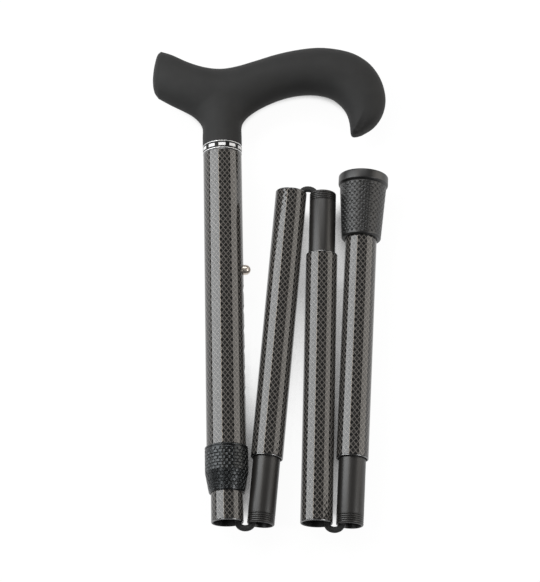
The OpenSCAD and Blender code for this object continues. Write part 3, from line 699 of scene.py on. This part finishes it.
# %% Block skin
def window(height, start, end, fade):
    """1 between two heights, falling to 0 over the fade at both of them."""
    return np.clip((height - start) / fade, 0, 1) * np.clip((end - height) / fade, 0, 1)


def soft_step(value, start, end):
    """0 before the start and 1 after the end, on a cubic curve between them."""
    t = np.clip((value - start) / (end - start), 0, 1)
    return t * t * (3 - 2 * t)


def staggered(columns, row, depth, start, end, fade, cut):
    """Relief in rows of cells, each row half a cell on: minus the depth times the cell's cut.

    The cut is a function of the ways from a cell's middle to its sides and to its ends, both from 0 to 1.
    """

    def relief(share, height):
        level = (height - start) / row
        across = columns * share + 0.5 * (np.floor(level) % 2)
        side, end_way = (np.abs(2 * (part % 1.0) - 1) for part in (across, level))
        return -depth * window(height, start, end, fade) * cut(side, end_way)

    return relief


def joint_cut(side, end_way):
    """Joints round a flat block: the greater of two soft steps, at its sides and at its ends."""
    return np.maximum(soft_step(side, 0.6, 0.9), soft_step(end_way, 0.75, 1.0))


def straight(one, other, step=0.25):
    """Points about step millimetres apart on the way from one to the other."""
    one, other = np.array(one, float), np.array(other, float)
    t = np.linspace(0, 1, max(2, int(np.linalg.norm(other - one) / step)))[:, None]
    return one + (other - one) * t


# %% Sleeve
SLEEVE_FOOT, SLEEVE_TOP, SLEEVE_R, SLEEVE_FOOT_R, SLEEVE_BORE = 17.2, 44.2, 12.5, 10.3, 9.5
TAPER_TOP, GROOVE_LOW, LIP_LOW = 29.2, 42.4, 42.9
SLEEVE_SEAT = OUTER_R + 0.05
BLOCK_COLUMNS, BLOCK_ROW, BLOCK_DEPTH, BLOCK_FADE, BLOCK_STEP = 24, 1.85, 0.36, 0.6, 0.16
skin_foot, skin_top = SLEEVE_FOOT + 0.8, GROOVE_LOW - 0.6
foot_corners = [(SLEEVE_BORE, SLEEVE_FOOT), (SLEEVE_FOOT_R, SLEEVE_FOOT), (SLEEVE_R, TAPER_TOP)]
outside = np.concatenate([
    rounded(foot_corners, 0.4)[CORNER_STEPS:2 * CORNER_STEPS],
    straight((SLEEVE_FOOT_R + 0.2, skin_foot), (SLEEVE_R, TAPER_TOP), BLOCK_STEP),
    straight((SLEEVE_R, TAPER_TOP + BLOCK_STEP), (SLEEVE_R, skin_top), BLOCK_STEP),
])
lips = [(SLEEVE_R, GROOVE_LOW - 0.4), (SLEEVE_R - 0.12, GROOVE_LOW - 0.1),
        (SLEEVE_R - 0.45, GROOVE_LOW + 0.05), (SLEEVE_R - 0.45, LIP_LOW - 0.1), (SLEEVE_R - 0.15, LIP_LOW),
        (SLEEVE_R, LIP_LOW + 0.2), (SLEEVE_R, LIP_LOW + 0.7), (SLEEVE_R - 0.15, SLEEVE_TOP - 0.2),
        (SLEEVE_R - 0.45, SLEEVE_TOP)]
inside = [(SLEEVE_SEAT, SLEEVE_TOP - 0.1), (SLEEVE_SEAT, OUTER_FOOT), (SLEEVE_BORE, OUTER_FOOT),
          (SLEEVE_BORE, SLEEVE_FOOT)]
sleeve_outline = np.concatenate([outside, lips, inside])
on_outside = np.arange(len(sleeve_outline)) < len(outside)
sleeve_skin = staggered(BLOCK_COLUMNS, BLOCK_ROW, BLOCK_DEPTH, skin_foot, skin_top, BLOCK_FADE, joint_cut)
turned("adjuster_sleeve", "handle_section", section_1, sleeve_outline, [sleeve_rubber],
       ["adjuster_sleeve"], turns=432, relief=lambda share, height: sleeve_skin(share, height) * on_outside)

# %% [markdown]
# ## Rubber tip
# The tip has a softer skin, with rows that are parted by faint lines and carry small pits, between a smooth
# flange at its sole and a rounded mouth round the tube. It is laid out like the sleeve's blocks, but only the
# middle of each joint is deep. The outline starts on the axis inside, at the washer, and ends on the axis at
# the sole. The body is a tenth of a millimetre slimmer than the frame's, so it clears the tube beside it.


# %% Tip
FAINT = 0.3


def pit_cut(side, end_way):
    """The greater of a pit, which is a product of two soft steps, and a faint line along the row."""
    pit = soft_step(side, 0.45, 0.8) * soft_step(1 - end_way, 0.3, 0.7)
    return np.maximum(pit, FAINT * soft_step(end_way, 0.6, 1.0))


TIP_MOUTH, TIP_FLANGE, TIP_FLOOR = SECTION_4_L - 40, SECTION_4_L - 6, SECTION_4_L - 5
MOUTH_R, BODY_R, FLANGE_R, SOLE_R, MOUTH_ROUND = 11.7, 13.9, 14.8, 9.0, 1.2
PIT_COLUMNS, PIT_ROW, PIT_DEPTH, PIT_FADE, PIT_STEP = 24, 1.75, 0.38, 1.0, 0.18
FLANGE_STEPS = 8
tip_bore = TUBE_R + 0.05
skin_foot, skin_top = TIP_MOUTH + 1.5, TIP_FLANGE - 1.2
arc = np.radians(np.linspace(-90, 0, 10))
lip = np.stack([MOUTH_R - MOUTH_ROUND + MOUTH_ROUND * np.cos(arc),
                TIP_MOUTH + MOUTH_ROUND + MOUTH_ROUND * np.sin(arc)], 1)
skin = straight((MOUTH_R, skin_foot), (BODY_R - 0.1, skin_top), PIT_STEP)
flange = rounded([(BODY_R - 0.5, TIP_FLANGE - 0.2), (FLANGE_R, TIP_FLANGE), (FLANGE_R, SECTION_4_L),
                  (SOLE_R, SECTION_4_L)], 1.0, FLANGE_STEPS)[FLANGE_STEPS:3 * FLANGE_STEPS]
inside = [(0.0, TIP_FLOOR), (tip_bore, TIP_FLOOR), (tip_bore, TIP_MOUTH + 0.3), (tip_bore + 0.3, TIP_MOUTH)]
under_flange = [(BODY_R - 0.15, TIP_FLANGE - 0.9), (BODY_R - 0.4, TIP_FLANGE - 0.5)]
sole = [(SOLE_R, SECTION_4_L), (0.0, SECTION_4_L)]
tip_parts = [inside, lip, skin, under_flange, flange, sole]
tip_outline = np.concatenate(tip_parts)
on_skin = np.concatenate([np.full(len(part), float(part is skin)) for part in tip_parts])
tip_skin = staggered(PIT_COLUMNS, PIT_ROW, PIT_DEPTH, skin_foot, skin_top, PIT_FADE, pit_cut)
turned("rubber_tip", "section_4", section_4, tip_outline, [tip_rubber], ["rubber_tip"],
       closed=False, turns=360, relief=lambda share, height: tip_skin(share, height) * on_skin)

# %% [markdown]
# ## Collar
# A narrow collar covers the joint of handle and tube: a black band with pale inlays between two bright rims.
# The inlays are exact in the frame, so they only get their finish. The band and the rims are turned again:
# the rims with rounded edges, because a thin bright line lives by the light on its edges, and the band with a
# black shoulder under each rim, which sets the line off.

# %% Collar
HANDLE_FOOT = 231.0
RIM_R, RIM_BORE, RIM_H, RIM_ROUND = 11.8, 10.35, 0.5, 0.2
BAND_R, BAND_ROUND = 11.6, 0.05


def ring(name, radius, start, end, cut, finish, slot):
    """A ring of square section with rounded edges."""
    outline = rounded([(radius, start), (radius, end), (RIM_BORE, end), (RIM_BORE, start)], cut)
    return turned(name, "handle_section", section_1, outline, [finish], [name], turns=192)


band_foot, band_top = COLLAR_FOOT + RIM_H, HANDLE_FOOT - RIM_H
ring("collar_rim_lower", RIM_R, COLLAR_FOOT, band_foot, RIM_ROUND, bright_rim, "bright_rim")
ring("collar_rim_upper", RIM_R, band_top, HANDLE_FOOT, RIM_ROUND, bright_rim, "bright_rim")
ring("collar_band", BAND_R, band_foot, band_top, BAND_ROUND, band_black, "collar_black")

# %% [markdown]
# ## Handle
# The derby handle is one moulded body with a soft coat. Sculpting it by hand would drift away from the frame,
# so it follows the frame's own formula on a finer grid: the outline swells to a middle line with three arms,
# in the neck, the horn and the nose. A point of the outline moves towards its middle point by the cosine of
# an angle while it rises by the sine, which gives round sides everywhere.

# %% Outline of the handle
BACK, FRONT, RISE, HALF_DEPTH, NECK_R = 41.6, 99.3, 64.0, 13.0, 11.75
TOP = [[-0.875, 0.99], [-0.715, 0.95], [-0.48, 0.87], [-0.24, 0.815], [0, 0.797], [0.1, 0.82], [0.22, 0.875],
       [0.345, 0.935], [0.475, 0.977], [0.605, 0.995], [0.725, 0.972], [0.825, 0.92], [0.908, 0.825],
       [0.963, 0.7], [0.992, 0.565], [0.998, 0.43], [0.976, 0.3], [0.928, 0.193], [0.86, 0.12]]
HORN_END = [[-0.92, 0.52], [-0.98, 0.585], [-1, 0.68], [-0.99, 0.78], [-0.963, 0.88], [-0.928, 0.955],
            [-0.875, 0.99]]
NOSE_END = [[0.86, 0.12], [0.825, 0.1], [0.8, 0.095], [0.783, 0.105], [0.778, 0.13]]
NECK_FOOT = [0, 0.1, 0.195]
LEFT_UNDER = [[-0.33, 0.265], [-0.425, 0.33], [-0.565, 0.39], [-0.75, 0.455], [-0.92, 0.52]]
RIGHT_UNDER = [[0.13, 0.256], [0.162, 0.317], [0.213, 0.378], [0.28, 0.438], [0.37, 0.497], [0.455, 0.53],
               [0.54, 0.539], [0.61, 0.525], [0.672, 0.488], [0.718, 0.425], [0.748, 0.36], [0.764, 0.3],
               [0.773, 0.237], [0.777, 0.175], [0.778, 0.13]]


def sized(shares):
    """Shares of the reach and the rise, made millimetres."""
    s = np.array(shares, float)
    return np.stack([s[:, 0] * np.where(s[:, 0] < 0, BACK, FRONT), s[:, 1] * RISE], 1)


def necked(side, under):
    """The straight foot of the neck on one side, then the points of the underside."""
    foot = [[side * NECK_R, share * RISE] for share in NECK_FOOT]
    return np.concatenate([foot, sized(under)])


def curve(line, place):
    """Smooth curve through the points of a line: cubic pieces whose slopes follow the neighbours."""
    line = np.array(line, float).reshape(len(line), -1)
    last = len(line) - 1
    i = np.minimum(np.floor(place).astype(int), last - 1)
    t = (place - i)[:, None]
    a, b, c, d = (line[np.clip(i + k, 0, last)] for k in (-1, 0, 1, 2))
    return b + t / 2 * (c - a + t * (2 * a - 5 * b + 4 * c - d + t * (3 * (b - c) + d - a)))


top, left, right = sized(TOP), necked(-1, LEFT_UNDER), necked(1, RIGHT_UNDER)
print("handle lines:", len(top), len(left), len(right))

# %% Arms of the handle
SADDLE, FILLET = 4, 4
HORN_DEPTHS = [1, 0.99, 0.95, 0.87, 0.75]
NOSE_DEPTHS = [1, 1.01, 1.03, 1.04, 1.03, 1, 0.95, 0.86, 0.72, 0.5]
JUNCTION = np.array([0, 0.52 * RISE])
NECK_N, HORN_N, NOSE_N, END_N, SIDE_N = 40, 60, 200, 40, 36


def steps(count):
    """Even steps from 0 to 1."""
    return np.linspace(0, 1, count + 1)


def eased(t, lag):
    """Runs from 0 to 1 like t, but starts from rest, so that the arms leave the junction without a crease."""
    return (1 + lag) * t**2 / (t + lag)


def arm(sides, depth, t, lag):
    """Middle line of an arm: halfway between its sides, drawn to the junction at its start, with its depth."""
    halfway = (sides[0] + sides[1]) / 2
    line = halfway + (JUNCTION - halfway[0]) * (1 - t[:, None]) ** 2
    late = eased(t, lag)
    both = (line, depth[:, None])
    return [np.stack([np.interp(late, t, part) for part in values.T], 1) for values in both]


tn, th, to = steps(NECK_N), steps(HORN_N), steps(NOSE_N)
neck_sides = [curve(line, FILLET * (1 - tn)) for line in (left, right)]
horn_sides = [curve(top, SADDLE * (1 - th)), curve(left, FILLET + (len(left) - 1 - FILLET) * th)]
nose_sides = [curve(top, SADDLE + (len(top) - 1 - SADDLE) * to),
              curve(right, FILLET + (len(right) - 1 - FILLET) * to)]


def depths(shares, t):
    """Half depth along an arm: shares of the greatest one, on a smooth curve."""
    return HALF_DEPTH * curve(shares, (len(shares) - 1) * t)[:, 0]


neck_mid, neck_depth = arm(neck_sides, NECK_R + (HALF_DEPTH - NECK_R) * (1 - tn) ** 2, tn, 0.5)
horn_mid, horn_depth = arm(horn_sides, depths(HORN_DEPTHS, th), th, 0.3)
nose_mid, nose_depth = arm(nose_sides, depths(NOSE_DEPTHS, to), to, 0.12)
middle = np.concatenate([neck_mid, horn_mid[1:], nose_mid[1:]])
middle_depth = np.concatenate([neck_depth, horn_depth[1:], nose_depth[1:]])[:, 0]
print("middle points", len(middle))

# %% [markdown]
# The columns of the grid go once round the outline, from the neck's left foot over the horn, the saddle, the
# arch and the nose back to its right foot. Each column knows its point on the outline and its middle point.
# The two columns of an arm share their middle points, and the round ends run to one middle point in a fan.

# %% Columns of the handle
ends = np.arange(1, END_N) / END_N
horn_at = np.where(np.arange(HORN_N + 1) == 0, 0, NECK_N + np.arange(HORN_N + 1))
nose_at = np.where(np.arange(NOSE_N + 1) == 0, 0, NECK_N + HORN_N + np.arange(NOSE_N + 1))
horn_round = curve(sized(HORN_END), (len(HORN_END) - 1) * ends)
nose_round = curve(sized(NOSE_END), (len(NOSE_END) - 1) * ends)
rim_points = np.concatenate([
    neck_sides[0][::-1], horn_sides[1][1:], horn_round, horn_sides[0][:0:-1],
    nose_sides[0], nose_round, nose_sides[1][:0:-1], neck_sides[1],
])
rim_middle = np.concatenate([
    np.arange(NECK_N, -1, -1), horn_at[1:], np.full(END_N - 1, horn_at[-1]), horn_at[:0:-1],
    nose_at, np.full(END_N - 1, nose_at[-1]), nose_at[:0:-1], np.arange(NECK_N + 1),
])
print("columns", len(rim_points))

# %% [markdown]
# Towards the end of the nose the coat shows a soft fold: a crease starts at the tip, and the surface beside
# it dips and comes up again. It is a step along a short curved line, which fades out away from the tip.

# %% Surface of the handle
CREASE_FROM, CREASE_TO = np.array((78.6, 7.6)), np.array((86.5, 22.5))
CREASE_BOW, CREASE_DEPTH, CREASE_SLOPE, CREASE_WIDTH = -1.0, 1.7, 2.8, 4.5


def crease(xy):
    """Dip beside the crease: deepest just right of its bowed line, gone a few widths away and at its end."""
    way = CREASE_TO - CREASE_FROM
    length = np.linalg.norm(way)
    way = way / length
    offset = xy - CREASE_FROM
    s = (offset @ way) / length
    side = offset @ np.array((way[1], -way[0])) + CREASE_BOW * 4 * s * (1 - s)
    slope = np.clip(side / CREASE_SLOPE, 0, 1)
    slope = slope * (2 - slope)
    fade = np.clip(1 - s, 0, 1) ** 1.5 * np.clip((s + 0.25) / 0.25, 0, 1)
    return CREASE_DEPTH * fade * slope * np.exp(-np.clip(side - CREASE_SLOPE, 0, None) / CREASE_WIDTH)


turn = np.radians(90 * np.arange(SIDE_N) / SIDE_N)[:, None]
mid_of_column, depth_of_column = middle[rim_middle], middle_depth[rim_middle]
flat = mid_of_column[None] + (rim_points - mid_of_column)[None] * np.cos(turn)[..., None]
rise = depth_of_column[None] * np.sin(turn)
dip = crease(flat) * np.sin(turn) ** 2
handle_axis = section_1.moved(0.0, HANDLE_FOOT)
upper = handle_axis.place(flat[..., 0], flat[..., 1], rise - dip)
lower = handle_axis.place(flat[..., 0], flat[..., 1], dip - rise)[1:]
mid_dip = crease(middle)
ridges = [handle_axis.place(middle[:, 0], middle[:, 1], sign * (middle_depth - mid_dip)) for sign in (1, -1)]
print("deepest dip beside the crease", round(float(dip.max()), 2), "mm")

# %% Mesh of the handle
columns = len(rim_points)
upper_index = np.arange(SIDE_N * columns).reshape(SIDE_N, columns)
lower_index = np.concatenate([upper_index[:1], upper_index[-1:].max() + 1 + upper_index[:-1]])
first_ridge = lower_index.max() + 1
upper_index = np.concatenate([upper_index, [first_ridge + rim_middle]])
lower_index = np.concatenate([lower_index, [first_ridge + len(middle) + rim_middle]])


def quilt(index):
    """Squares between neighbouring rows and columns, or triangles where two corners are one point."""
    squares = np.stack([index[:-1, :-1], index[:-1, 1:], index[1:, 1:], index[1:, :-1]], 2).reshape(-1, 4)
    fan = squares[:, 2] == squares[:, 3]
    return squares[~fan].tolist() + squares[fan][:, :3].tolist()


foot = np.concatenate([upper_index[:, 0], upper_index[-2::-1, -1],
                       lower_index[1:, -1], lower_index[-2:0:-1, 0]])
handle_points = np.concatenate([upper.reshape(-1, 3), lower.reshape(-1, 3), *ridges])
handle_faces = quilt(upper_index) + [face[::-1] for face in quilt(lower_index)] + [foot.tolist()]
handle_mesh = bpy.data.meshes.new("handle")
handle_mesh.from_pydata(handle_points.tolist(), [], handle_faces)
handle = finish_piece("handle", "handle_section", handle_mesh, [soft_touch], ["handle"])

# %% [markdown]
# ## Elastic cord
# The cord runs through all the tubes and turns round at each fold. It is a profile carried along a path: a
# circle whose radius follows the braid, ridged where the threads of either way lie on top. The turn at a fold
# is half an oval with a straight leg at each end. The stretches in the lower tubes are elastic. The first one
# only leaves the wall for the middle of its tube.


# %% Cord helpers
CORD_R, BRAID_DEPTH = 1.8, 0.16
LEG, RUN_GAP = 14.0, 0.3
MOUTH_LEG, FERRULE_LEG = 6.15, 4.7
BEND_R, BEND_DROP, BEND_SHIFT = 4.0, 2.8, -0.725
CORD_TURNS, CORD_STEP = 48, 0.6


def braid_relief(share, along):
    """Inwards from the radius: the braid's depth, less where a thread of either way lies on top."""
    ways = [np.abs(np.cos(np.pi * (BRAID_STRANDS * share + k * along * BRAID_STRANDS / (BRAID_PITCH / MM))))
            for k in (1, -1)]
    return -BRAID_DEPTH * (1 - np.maximum(*ways))


def cord_piece(name, body, path, out):
    """A braided tube: at each path point, a circle in the plane of the point's outward direction and up."""
    lengths = np.concatenate([[0], np.cumsum(np.linalg.norm(np.diff(path, axis=0), axis=1))]) / MM
    share = np.arange(CORD_TURNS)[:, None] / CORD_TURNS
    radius = (CORD_R + braid_relief(share, lengths[None])) * MM
    radius = np.concatenate([np.zeros((CORD_TURNS, 1)), radius, np.zeros((CORD_TURNS, 1))], 1)
    ring = np.concatenate([[0], np.arange(len(path)), [len(path) - 1]])
    angle = 2 * np.pi * share
    sideways = (radius * np.cos(angle))[..., None] * out[ring]
    upwards = (radius * np.sin(angle))[..., None] * np.array((0.0, 0.0, 1.0))
    painted_shade_mask = np.clip(-braid_relief(share, lengths[None]) / BRAID_DEPTH, 0, 1)[:, ring]
    mesh = grid_mesh(name, path[ring][None] + sideways + upwards, lengths[ring] * MM, False, painted_shade_mask)
    return finish_piece(name, body, mesh, [cord_jacket], [name])


def cord_run(name, body, axis, start, end, plug=None):
    """A straight stretch between two points of a section's plane, given across and along its axis.

    Where a plug is named, the stretch gets a mesh of its own.
    """
    line = straight(start, end, CORD_STEP)
    path = axis.place(line[:, 0], line[:, 1], 0.0)
    way = path[-1] - path[0]
    out = np.array((-way[1], way[0], 0.0)) / np.linalg.norm(way)
    piece = cord_piece(name, body, path, np.repeat(out[None], len(path), 0))
    if plug:
        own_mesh(piece)
    return piece


# %% Cord in the tubes and at the folds
run_start = LEG + RUN_GAP
ANCHOR_1, ANCHOR_4 = 118.0, 182.0
length_2, length_3 = FERRULE_L + TUBE_2_L, FERRULE_L + TUBE_3_L
far_2, far_3 = (MOUTH_LEG, length_2 - run_start), (-MOUTH_LEG, length_3 - run_start)
run_1 = cord_run("cord_run_1", "inner_section", section_1, (MOUTH_LEG, run_start), (0, ANCHOR_1 - RUN_GAP))
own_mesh(run_1)
cord_run("cord_run_2", "cord_link_2", section_2, (-FERRULE_LEG, run_start), far_2, "plug")
cord_run("cord_run_3", "cord_link_3", section_3, (FERRULE_LEG, run_start), far_3, "plug_23")
far_4 = (0, ANCHOR_4 - RUN_GAP)
cord_run("cord_run_4", "cord_link_4", section_4, (-FERRULE_LEG, run_start), far_4, "plug_34")


def cord_turn(name, body, fold, mouth, outward, toward, own):
    """Half an oval about a fold's pivot, from the mouth's side round to the ferrule's, with its two legs."""
    splay = math.acos(abs(float(np.dot(mouth.along, own.along))))
    sweep = np.linspace(0, math.pi - splay, 60)
    wide, deep = BEND_R * np.cos(sweep), BEND_DROP * np.sin(sweep)
    bend = np.stack([BEND_R * wide, BEND_DROP * deep], 1) / np.hypot(wide, deep)[:, None]
    bend[:, 0] += BEND_SHIFT
    leg = np.arange(0.5, LEG, 0.5)
    first = bend[0] - leg[::-1, None] * np.array((0.0, 1.0))
    last = bend[-1] + leg[:, None] * np.array((-math.sin(sweep[-1]), math.cos(sweep[-1])))
    flat_path = np.concatenate([first, bend, last])
    angle = np.concatenate([np.zeros(len(leg)), sweep, np.full(len(leg), sweep[-1])])
    pivot = np.array(joints[fold]["pos_m"])
    path = pivot + MM * (flat_path[:, :1] * toward + flat_path[:, 1:] * outward)
    out = np.cos(angle)[:, None] * toward + np.sin(angle)[:, None] * outward
    piece = cord_piece(name, body, path, out)
    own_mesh(piece)


cord_turn("cord_bend_12", "section_2", "unfold", section_1, -section_1.along, -section_1.across, section_2)
cord_turn("cord_bend_23", "section_3", "fold_23", section_2, section_2.along, -section_2.across, section_3)
cord_turn("cord_bend_34", "section_4", "fold_34", section_3, section_3.along, section_3.across, section_4)

# %% [markdown]
# The cord ends in a knot behind an anchor at each end of the cane. A knot is a lump of the same braid with
# the cord's end through it, so it is turned with the braid's relief.

# %% Knots
KNOT_R, ANCHOR_L = 3.5, 12.0


def knot(name, body, axis, level):
    """A tail of the cord's radius up from the anchor's foot, then a ball that stands on the anchor."""
    middle_height = level + ANCHOR_L + KNOT_R
    tail = straight((CORD_R, level), (CORD_R, middle_height - math.sqrt(KNOT_R**2 - CORD_R**2)), 0.4)
    arc = np.linspace(-math.acos(CORD_R / KNOT_R), math.pi / 2, 40)
    lump = np.stack([KNOT_R * np.cos(arc), middle_height + KNOT_R * np.sin(arc)], 1)
    lump[-1, 0] = 0.0
    outline = np.concatenate([[(0.0, level)], tail, lump])
    solid = (outline[:, 0] > 0.5).astype(float)
    turned(name, body, axis, outline, [cord_jacket], [name], closed=False, turns=64,
           relief=lambda share, height: braid_relief(share, height) * solid)


knot("cord_knot_upper", "inner_section", section_1, ANCHOR_1)
knot("cord_knot_lower", "section_4", section_4, ANCHOR_4)

# %% [markdown]
# ## Pieces that keep their exact shape
# The inlays, the spigot, the bushes, the anchors with their pins and the washer are right as they stand in
# the frame. They could be made again, but they keep their shape and only get their finish.

# %% Finishes for the frame's own pieces
kept = {
    "collar_inlays": pearl_white, "handle_spigot": inner_plastic,
    "lower_bush": inner_plastic, "upper_bush": inner_plastic,
    "cord_anchor_upper": inner_plastic, "cord_anchor_lower": inner_plastic,
    "anchor_pin_upper": steel, "anchor_pin_lower": steel, "tip_washer": steel,
}
for name, material in kept.items():
    nodes[name].data.materials.clear()
    nodes[name].data.materials.append(material)
print("kept pieces:", len(kept))

# %% [markdown]
# ## Floor
# The cane lies on a white sheet. The sheet is a plain matt surface for the light, and where the camera or a
# reflection looks at it, most of it glows, so that it is white in the picture and still keeps a soft shadow.
# Deep between two tubes the sheet gets no light at all, so the glow fades where the cane closes it in, and the
# sheet's own colour is painted down to near black there: both are a painted shadow, measured by how closed in
# each point is.

# %% Floor
FLOOR_HALF = 12.0
GLOW, GLOW_SHARE = 1.06, 0.9
CLOSED_IN, OPEN, CLOSED_REACH = 0.18, 0.36, 0.02
corner = np.array([(-1, -1, 0), (1, -1, 0), (1, 1, 0), (-1, 1, 0)]) * FLOOR_HALF
floor_mesh = bpy.data.meshes.new("floor")
floor_mesh.from_pydata(corner.tolist(), [], [(0, 1, 2, 3)])
floor = bpy.data.objects.new("floor", floor_mesh)
scene.collection.objects.link(floor)

sheet = Finish("floor_white")
rays = sheet.tree.nodes.new("ShaderNodeLightPath")
seen = [Signal(sheet, rays.outputs[f"Is {kind} Ray"]) for kind in ("Camera", "Glossy", "Transmission")]
openness = sheet.node("ShaderNodeAmbientOcclusion", {"samples": 32}, {"Distance": CLOSED_REACH}, "AO")
free = ((openness - CLOSED_IN) / (OPEN - CLOSED_IN)).clamped()
# Painted shadow: where the cane closes the sheet in, its own colour is painted from pale grey down to near
# black.
painted_floor_shadow = sheet.mixed(free, grey(0.03), grey(0.7))
sheet.surface(Base_Color=painted_floor_shadow, Roughness=0.9, Specular_IOR_Level=0.0)
# Painted shadow: the glow fades by the same measure of how closed in the sheet is.
share = (seen[0] + seen[1] + seen[2]).clamped() * free * GLOW_SHARE
glow = sheet.node("ShaderNodeEmission", None, {"Color": grey(1.0), "Strength": GLOW})
plain = Signal(sheet, sheet.shader.outputs[0])
both = sheet.node("ShaderNodeMixShader", None, {0: share, 1: plain, 2: glow})
sheet.feed(sheet.tree.nodes["Material Output"].inputs["Surface"], both)
floor_mesh.materials.append(sheet.material)
print("floor", 2 * FLOOR_HALF, "m wide")
